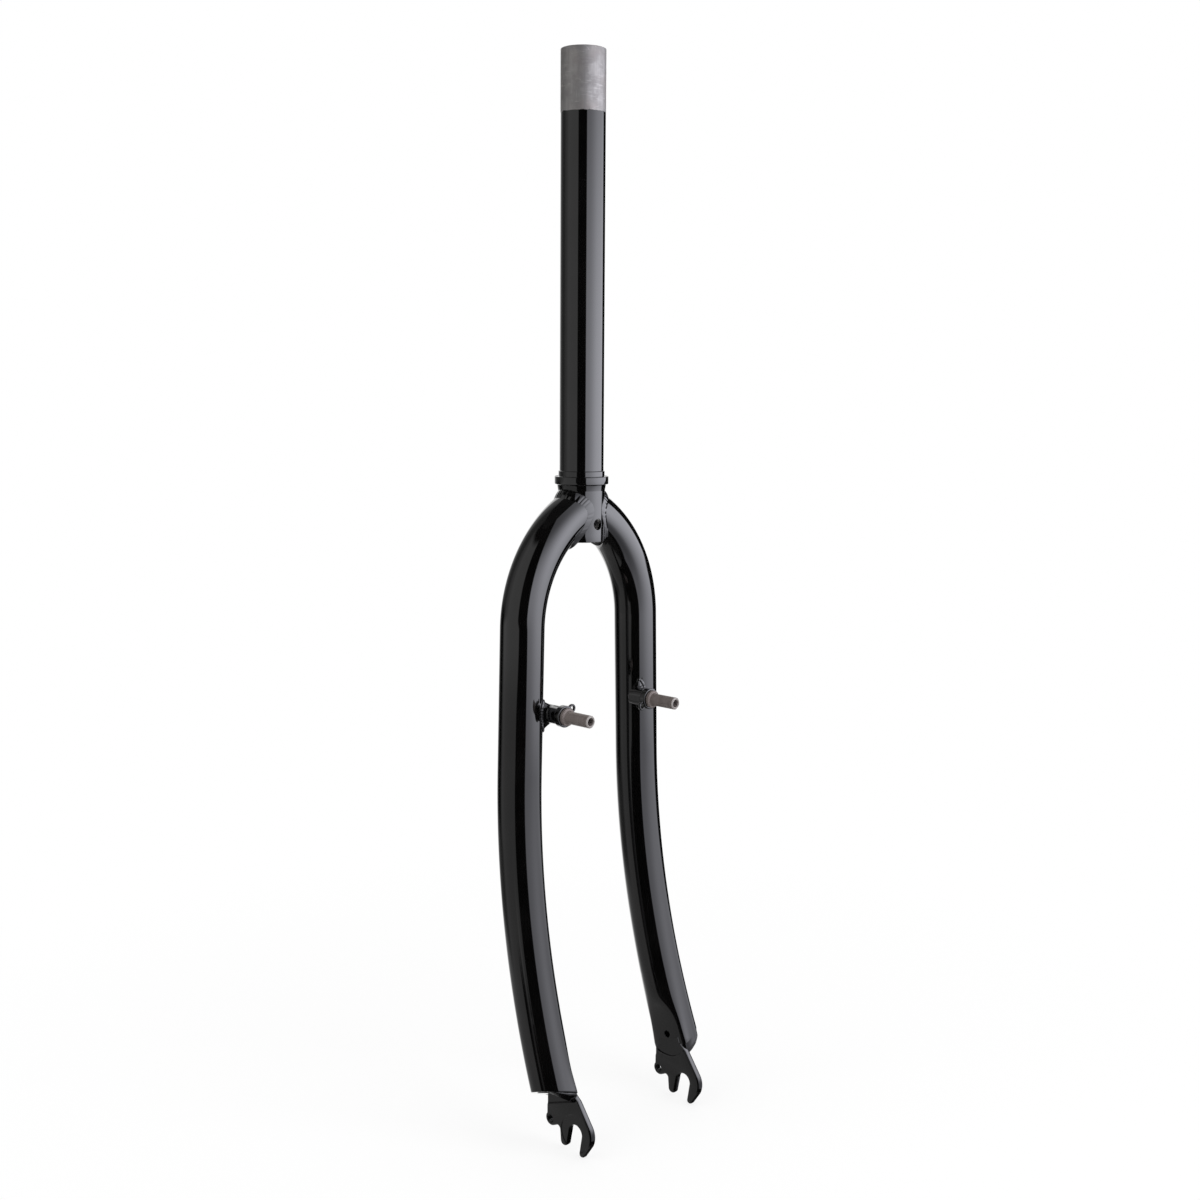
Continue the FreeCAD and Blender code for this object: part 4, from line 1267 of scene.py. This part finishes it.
def skin_over(mesh, grain, rounds):
    """One closed skin over shells that run into each other, with its edges softened as paint does."""
    blank = blank_of(mesh)
    cells = blank.modifiers.new("Skin", "REMESH")
    cells.mode = "VOXEL"
    cells.voxel_size = grain
    soft = blank.modifiers.new("Soft edges", "SMOOTH")
    soft.factor = 0.5
    soft.iterations = rounds
    skin = worked(blank)
    skin.polygons.foreach_set("use_smooth", np.ones(len(skin.polygons), bool))
    return skin


def stud_frame(points, size, side):
    """From the left stud's own place to the left or right stud: the right one is turned half round."""
    return points * (side, 1.0, side) + np.array((side * size.spacing / 2, 0.0, -size.drop))


def boss_shell(size, side):
    """Foot and neck, collar and ear, each a closed surface."""
    shell = Shell()
    foot_rows = np.linspace(size.foot_lead, size.neck_lead, 16)
    lead = np.append(foot_rows, size.face - 0.5 * MM)[:, None]
    turn = circle(128)[None]
    bar = boss_bar_points(size, lead + 0 * turn, turn + 0 * lead)
    shell.add_closed(stud_frame(bar, size, side))
    back = size.face - size.flange_thickness
    profile = rounded((
        (back, 0.0, 0.0), (back, size.flange, 0.5 * MM),
        (size.face, size.flange, 0.5 * MM), (size.face, 0.0, 0.0),
    ), 4)
    shell.add_closed(stud_frame(turned(profile[1:-1], 128), size, side))
    ear = ear_points(size, size.face - size.ear_back)
    shell.add_grid(stud_frame(ear, size, side), loop_rows=True)
    return shell


def boss_weld_shell(size, weld, shape, side):
    """Bead round the foot: a rippled ring of section about the line where the foot stands on the blade."""
    turn = circle(320)
    lean = math.tan(shape.lean)
    blade_x = shape.size.spread + (size.drop - shape.size.crown_drop) * lean - size.spacing / 2
    radius = shape.size.radius

    def from_axis(points):
        return points[:, 0] - blade_x + side * points[:, 2] * lean

    def outside(lead):
        points = boss_bar_points(size, lead, turn)
        return np.hypot(from_axis(points), points[:, 1]) > radius
    corner = boss_bar_points(size, halved(turn, size.foot_lead, size.neck_lead, outside), turn)
    corner[:, 0] = np.maximum(corner[:, 0], 4.6 * MM)
    for _ in range(8):
        corner = 0.5 * corner + 0.25 * (np.roll(corner, 1, 0) + np.roll(corner, -1, 0))
    corner[:, 1] = -np.sqrt(radius ** 2 - from_axis(corner) ** 2)
    run = unit(np.roll(corner, -1, 0) - np.roll(corner, 1, 0))
    up = unit(np.stack((from_axis(corner), corner[:, 1], 0 * turn), -1))
    aside = np.cross(run, up)
    reach = weld.boss * (1 + 0.16 * ripple(along_loop(corner), weld.boss_ripple, 0.9))[:, None]
    section = circle(20)[:, None, None]
    rings = corner + reach * (np.cos(section) * aside + 0.8 * np.sin(section) * up)
    shell = Shell()
    shell.add_grid(stud_frame(rings, size, side), loop_rows=True)
    return shell


def stud_shell(size, boss, side):
    """Turned stud: spigot, collar, fillet, pivot, chamfer and a tapped hole with its helical thread.

    In the hole the radius is that of the hole plus the groove's depth times the thread's wave less 0.35.
    """
    face = boss.face
    collar = 0.4 * MM
    outside = rounded((
        (face - size.spigot_length, 0.0, 0.0), (face - size.spigot_length, size.spigot, 0.3 * MM),
        (face, size.spigot, 0.0), (face, size.shoulder, collar),
        (size.shoulder_lead, size.shoulder, collar),
        (size.shoulder_lead, size.pivot, size.root),
        (size.tip_lead - size.chamfer, size.pivot, 0.15 * MM),
        (size.tip_lead, size.pivot - size.chamfer, 0.15 * MM),
        (size.tip_lead, size.thread + 0.45 * MM, 0.1 * MM),
        (size.tip_lead - 0.55 * MM, size.thread, 0.0),
    ), 6)[1:]
    around = 128
    turn = circle(around)[None]
    mouth = 0.6 * MM
    depth = np.linspace(0.0, size.thread_depth - mouth, 150)[:, None]
    groove = 0.45 * MM * smooth_step(0.0, 0.8 * MM, depth)
    radius = size.thread + groove * (thread_wave(depth, size.thread_pitch, turn) - 0.35)
    hole = rings_about_y(size.tip_lead - mouth - depth, radius, turn)
    points = np.concatenate((turned(outside, around)[:-1], hole))
    shell = Shell()
    shell.add_closed(stud_frame(points, boss, side))
    return shell


class FORK_OT_steerer(bpy.types.Operator):
    """Make the steerer with its race seat, collar, crown hole, paint and raw steel end"""
    bl_idname = "fork.steerer"
    bl_label = "Steerer"

    def execute(self, context):
        material = finish_for("painted_steerer", make_steerer_finish)
        mesh = steerer_shell(settings().steerer).build("steerer", sharp=TURNED_SHARP)
        place_piece(mesh, "steerer_tube", material)
        return {"FINISHED"}


class FORK_OT_blades(bpy.types.Operator):
    """Make the two bent blades with their pressed flats and vents"""
    bl_idname = "fork.blades"
    bl_label = "Blades"

    def execute(self, context):
        paint = finish_for("black_paint", make_paint)
        for name, side in SIDES:
            mesh = blade_shell(blade_shape(name)).build(f"{name}_fork_blade", side, BLADE_SHARP)
            place_piece(mesh, f"{name}_blade", paint)
        return {"FINISHED"}


class FORK_OT_dropouts(bpy.types.Operator):
    """Make the two stamped dropouts"""
    bl_idname = "fork.dropouts"
    bl_label = "Dropouts"

    def execute(self, context):
        paint = finish_for("black_paint", make_paint)
        size = settings().dropout
        for name, side in SIDES:
            shape = blade_shape(name)
            plate = dropout_shell(size, shape).build(f"{name}_dropout_plate", side)
            tools = dropout_cutters(size, shape).build(f"{name}_dropout_tools", side)
            place_piece(cut_away(plate, tools), f"{name}_dropout", paint)
        return {"FINISHED"}


class FORK_OT_welds(bpy.types.Operator):
    """Make the beads at the crown and the bosses, and the welds that close the blades"""
    bl_idname = "fork.welds"
    bl_label = "Welds"

    def execute(self, context):
        fork = settings()
        paint = finish_for("black_paint", make_paint)
        for name, side in SIDES:
            shape = blade_shape(name)
            crown = crown_weld_shell(shape, fork.weld, LAID[name])
            end = end_weld_shell(shape, fork.weld, fork.dropout)
            boss = boss_weld_shell(fork.boss, fork.weld, shape, side)
            crown_mesh = crown.build(f"{name}_crown_bead", side, WELD_SHARP)
            place_piece(crown_mesh, f"{name}_crown_weld", paint)
            end_mesh = end.build(f"{name}_end_weld", side, WELD_SHARP)
            place_piece(end_mesh, f"{name}_dropout_weld", paint)
            boss_mesh = boss.build(f"{name}_boss_bead", sharp=WELD_SHARP)
            place_piece(boss_mesh, f"{name}_boss_weld", paint)
        return {"FINISHED"}


class FORK_OT_bosses(bpy.types.Operator):
    """Make the two brake bosses"""
    bl_idname = "fork.bosses"
    bl_label = "Brake bosses"

    def execute(self, context):
        size = settings().boss
        paint = finish_for("black_paint", make_paint)
        for name, side in SIDES:
            mesh = boss_shell(size, side).build(f"{name}_boss_casting")
            skin = skin_over(mesh, size.grain, BOSS_SOFTENING)
            place_piece(skin, f"{name}_brake_boss", paint)
        return {"FINISHED"}


class FORK_OT_studs(bpy.types.Operator):
    """Make the two turned brake studs"""
    bl_idname = "fork.studs"
    bl_label = "Brake studs"

    def execute(self, context):
        fork = settings()
        steel = finish_for("bare_steel", make_stud_finish)
        for name, side in SIDES:
            mesh = stud_shell(fork.stud, fork.boss, side).build(f"{name}_pivot_stud", sharp=TURNED_SHARP)
            place_piece(mesh, f"{name}_brake_stud", steel)
        return {"FINISHED"}


CAMERA_PLACE = np.array((-0.7150, -0.7062, 0.0614))
CAMERA_YAW = math.radians(-46.07)
CAMERA_PITCH = math.radians(-8.07)
CAMERA_ROLL = math.radians(0.38)
CAMERA_LENS = 46.454
SOFTBOX_TINT = (0.965, 0.97, 1.06)
WALL_RADIUS = 0.65
WALL_LOW = -1.15
WALL_HIGH = 1.35


def camera_axes():
    """Forward, right and up of the camera."""
    forward = np.array((
        -math.sin(CAMERA_YAW) * math.cos(CAMERA_PITCH), math.cos(CAMERA_YAW) * math.cos(CAMERA_PITCH),
        math.sin(CAMERA_PITCH),
    ))
    level = np.array((math.cos(CAMERA_YAW), math.sin(CAMERA_YAW), 0.0))
    upright = np.cross(level, forward)
    right = math.cos(CAMERA_ROLL) * level + math.sin(CAMERA_ROLL) * upright
    up = math.cos(CAMERA_ROLL) * upright - math.sin(CAMERA_ROLL) * level
    return forward, right, up


def placed(right, up, back, place):
    """Matrix of a lamp or camera with these axes at a place."""
    rows = np.eye(4)
    rows[:3] = np.column_stack((right, up, back, place))
    return Matrix(rows.tolist())


def mirror_only(item):
    """Show a stage piece in reflections and nowhere else."""
    item.visible_camera = False
    item.visible_diffuse = False
    item.visible_transmission = False
    item.visible_shadow = False


def level_disc(name, radii, level):
    """Disc of rings with these radii, closed in the middle."""
    turn = circle(96)
    ring = np.stack((np.cos(turn), np.sin(turn), 0 * turn), -1)
    rows = np.stack([radius * ring + (0.0, 0.0, level) for radius in radii])
    shell = Shell()
    shell.add_grid(rows)
    shell.add_fan(rows[0])
    return shell.build(name)


def set_glow(mesh, light):
    """Store the light of each vertex, which the studio's cloth gives off."""
    glow = np.ones((len(mesh.vertices), 4))
    glow[:, :3] = light
    mesh.color_attributes.new("glow", "FLOAT_COLOR", "POINT").data.foreach_set("color", glow.ravel())


def where_shown(wire):
    """1 where a ray comes from the camera, from a mirror or through glass."""
    seen = wire.node("ShaderNodeLightPath", output="Is Camera Ray")
    return seen.largest(seen.output("Is Glossy Ray"), seen.output("Is Transmission Ray"))


def window(values, low, high, soft):
    """1 between low and high, 0 outside, with soft edges."""
    return smooth_step(low - soft, low + soft, values) * (1 - smooth_step(high - soft, high + soft, values))


def studio_light(turn, height):
    """Brightness of the studio's walls by angle from the camera, in degrees to its right, and height.

    A large, slightly blue softbox stands on the right and a pale board on the left, brighter behind the
    crown and cut back at its foot. A streak lies beside the board, a sweep of cloth behind it, and the
    back is white but for a dim band. The rest is dark cloth.
    """
    low = smooth_step(-0.28, -0.46, height)
    lowest = smooth_step(-0.44, -0.56, height)
    middle = 0.55 + 0.45 * np.exp(-((turn - 80.0) / 34.0) ** 2)
    box_across = (1 - low) * middle + low * (0.88 - 0.36 * smooth_step(24.0, 62.0, turn))
    box_up = 0.27 + 0.73 * np.exp(-((height - 0.03) / np.where(height > 0.03, 0.36, 0.31)) ** 2)
    box_edge = 20.5 + 5.0 * smooth_step(-0.10, -0.20, height)
    box_end = 113.0 + 13.0 * smooth_step(-0.10, -0.02, height) + 22.0 * low
    softbox = 3.05 * (1 - 0.18 * lowest) * box_across * box_up
    softbox = softbox * window(turn, box_edge, box_end, 1.5) * window(height, -0.82, 1.6, 0.05)
    foot = smooth_step(-0.37, -0.43, height)
    left = -90.0 - 11.0 * smooth_step(-0.05, -0.15, height)
    soft = 11.0 + 9.0 * smooth_step(-0.14, -0.06, height)
    right = -22.5 + 7.0 * window(height, -0.22, -0.12, 0.04) - 27.0 * foot
    level = 0.27 + 0.15 * smooth_step(-0.26, -0.17, height)
    board = level * (1 - foot) * smooth_step(left - soft, left + soft, turn)
    shade = 1 - 0.7 * (1 - smooth_step(-102.0, -82.0, turn)) * smooth_step(-0.57, -0.51, height)
    board = board + (0.27 - 0.06 * smooth_step(-0.52, -0.66, height)) * foot * shade
    board = board * (1 - smooth_step(right - 2.0, right + 2.0, turn))
    board = board * (1 - smooth_step(0.68, 0.92, height))
    streak = 0.13 * window(turn, -38.0, -31.0, 2.0) * window(height, -0.46, -0.37, 0.03)
    sweep = 0.20 * smooth_step(-122.0, -146.0, turn)
    sweep = sweep + 0.09 * smooth_step(-0.12, -0.02, height) * (1 - smooth_step(-98.0, -84.0, turn))
    back = smooth_step(-151.5, -152.5, turn) + smooth_step(165.5, 166.5, turn)
    white = 1 - 0.7 * smooth_step(168.0, 174.0, np.abs(turn)) * window(height, -0.07, 0.06, 0.02)
    plain = ((0.006 + board + streak + sweep) * (1 - back) + white * back)[..., None]
    return plain * (1.0, 1.0, 1.0) + softbox[..., None] * SOFTBOX_TINT


class FORK_OT_stage(bpy.types.Operator):
    """Make the floor, the studio's walls, the lamps, the world and the camera"""
    bl_idname = "fork.stage"
    bl_label = "Stage"

    def execute(self, context):
        scene = context.scene
        scene.view_settings.view_transform = "Standard"
        self.add_floor(scene)
        self.add_walls(scene)
        self.add_lamps(scene)
        self.set_world(scene)
        self.add_camera(scene)
        return {"FINISHED"}

    def add_floor(self, scene):
        """Pale floor: white to the camera where nothing shades it."""
        mesh = level_disc("floor", (0.05, 0.3, 1.0, 3.0, 9.0), CAD_BOX[0][2] - 0.2 * MM)
        floor = put_in(scene, "floor", mesh)
        material, wire, shader = new_material("pale_floor")
        feed(shader, Base_Color=(0.98, 0.98, 0.98, 1.0), Roughness=0.9, Specular_IOR_Level=0.0)
        place = object_place(wire)
        away = wire.node("ShaderNodeVectorMath", {"operation": "LENGTH"}, {0: place}, 1)
        bright = 0.8 + 0.2 * away.between(0.44, 0.75)
        white = wire.node("ShaderNodeEmission", None, {"Color": WHITE, "Strength": 1.0})
        lit = Wire(wire.tree, shader.outputs[0])
        mixed = wire.node("ShaderNodeMixShader", None, {0: bright * where_shown(wire), 1: lit, 2: white})
        wire.close(mixed)
        mesh.materials.append(material)
        floor.visible_glossy = False

    def add_walls(self, scene):
        """Softbox, board and dark cloth round the fork, seen only in its reflections."""
        turn = np.linspace(-180.0, 180.0, 361)
        height = np.linspace(WALL_LOW, WALL_HIGH, 126)
        turns, heights = np.meshgrid(turn, height)
        forward, right, _ = camera_axes()
        to_camera = unit(-forward * (1.0, 1.0, 0.0))
        level = unit(right * (1.0, 1.0, 0.0))
        angles = np.radians(turns)[..., None]
        ray = np.cos(angles) * to_camera + np.sin(angles) * level
        points = WALL_RADIUS * ray + heights[..., None] * np.array((0.0, 0.0, 1.0))
        index = np.arange(turns.size).reshape(turns.shape)
        quads = np.stack((index[:-1, :-1], index[:-1, 1:], index[1:, 1:], index[1:, :-1]), -1)
        mesh = bpy.data.meshes.new("studio_walls")
        mesh.from_pydata(points.reshape(-1, 3).tolist(), [], quads.reshape(-1, 4).tolist())
        set_glow(mesh, studio_light(turns, heights).reshape(-1, 3))
        walls = put_in(scene, "studio_walls", mesh)
        material, wire, shader = new_material("studio_cloth")
        light = wire.node("ShaderNodeVertexColor", {"layer_name": "glow"})
        feed(shader, Base_Color=(0.0, 0.0, 0.0, 1.0), Specular_IOR_Level=0.0)
        feed(shader, Emission_Color=light, Emission_Strength=1.0)
        mesh.materials.append(material)
        self.add_ends(scene, material)
        mirror_only(walls)

    def add_ends(self, scene, material):
        """Ground, paler on the left, and dark ceiling, so that no gloss sees the white beyond the walls."""
        _, right, _ = camera_axes()
        for name, level, light in (("studio_ground", WALL_LOW, 0.21), ("studio_ceiling", WALL_HIGH, 0.0)):
            mesh = level_disc(name, (0.1, 0.4, 1.01 * WALL_RADIUS), level)
            place = np.empty(3 * len(mesh.vertices))
            mesh.vertices.foreach_get("co", place)
            on_left = smooth_step(0.05, -0.15, place.reshape(-1, 3) @ right)
            set_glow(mesh, (0.03 + light * on_left)[:, None])
            mesh.materials.append(material)
            mirror_only(put_in(scene, name, mesh))

    def add_lamps(self, scene):
        """Soft lamps for floor and dull steel; the gloss shows the walls instead."""
        forward, right, _ = camera_axes()
        to_camera = unit(-forward * (1.0, 1.0, 0.0))
        lamps = (
            ("key", 0.5 * to_camera + 0.8 * right, 1.2, 10.0),
            ("fill", 0.5 * to_camera - 0.9 * right, 0.9, 4.0),
        )
        for name, way, height, power in lamps:
            lamp = bpy.data.lights.new(name, "AREA")
            lamp.shape = "SQUARE"
            lamp.size = 1.0
            lamp.energy = power
            item = put_in(scene, name, lamp)
            place = 1.2 * way + np.array((0.0, 0.0, height))
            aim = unit(np.array((0.0, 0.0, -0.1)) - place)
            side = unit(np.cross(aim, (0.0, 0.0, 1.0)))
            item.matrix_world = placed(side, np.cross(side, aim), -aim, place)
            item.visible_glossy = False

    def set_world(self, scene):
        """White to the camera, to mirrors and through glass, and an even soft light for the rest."""
        world = bpy.data.worlds.new("studio")
        scene.world = world
        world.use_nodes = True
        wire = Wire(world.node_tree)
        backdrop = wire.node("ShaderNodeBackground", None, {"Color": WHITE, "Strength": 1.0})
        soft = wire.node("ShaderNodeBackground", None, {"Color": WHITE, "Strength": 0.75})
        wire.close(wire.node("ShaderNodeMixShader", None, {0: where_shown(wire), 1: soft, 2: backdrop}))

    def add_camera(self, scene):
        """Camera at the photograph's place."""
        forward, right, up = camera_axes()
        lens = bpy.data.cameras.new("camera")
        lens.lens = CAMERA_LENS
        lens.sensor_width = 36.0
        lens.clip_start = 0.01
        lens.dof.use_dof = False
        camera = put_in(scene, "camera", lens)
        camera.matrix_world = placed(right, up, -forward, CAMERA_PLACE)
        scene.camera = camera


class FORK_PT_panel(bpy.types.Panel):
    """Fork tools in the sidebar"""
    bl_idname = "FORK_PT_panel"
    bl_label = "Mountain bike fork"
    bl_space_type = "VIEW_3D"
    bl_region_type = "UI"
    bl_category = "Fork"

    def draw(self, context):
        for maker in MAKERS:
            self.layout.operator(maker.bl_idname)


MAKERS = (
    FORK_OT_steerer, FORK_OT_blades, FORK_OT_dropouts, FORK_OT_welds, FORK_OT_bosses, FORK_OT_studs,
    FORK_OT_stage,
)
GROUPS = (SteererSizes, BladeSizes, DropoutSizes, BossSizes, StudSizes, WeldSizes, Finishes, ForkSettings)


def register():
    """Add the sizes, operators and panel to Blender."""
    for item in (*GROUPS, *MAKERS, FORK_PT_panel):
        bpy.utils.register_class(item)
    bpy.types.Scene.fork_settings = PointerProperty(type=ForkSettings)


def unregister():
    """Take them out again."""
    del bpy.types.Scene.fork_settings
    for item in reversed((*GROUPS, *MAKERS, FORK_PT_panel)):
        bpy.utils.unregister_class(item)


def main():
    """Make the fork and its stage."""
    register()
    for maker in MAKERS:
        group, name = maker.bl_idname.split(".")
        getattr(getattr(bpy.ops, group), name)()


if __name__ == "__main__":
    main()
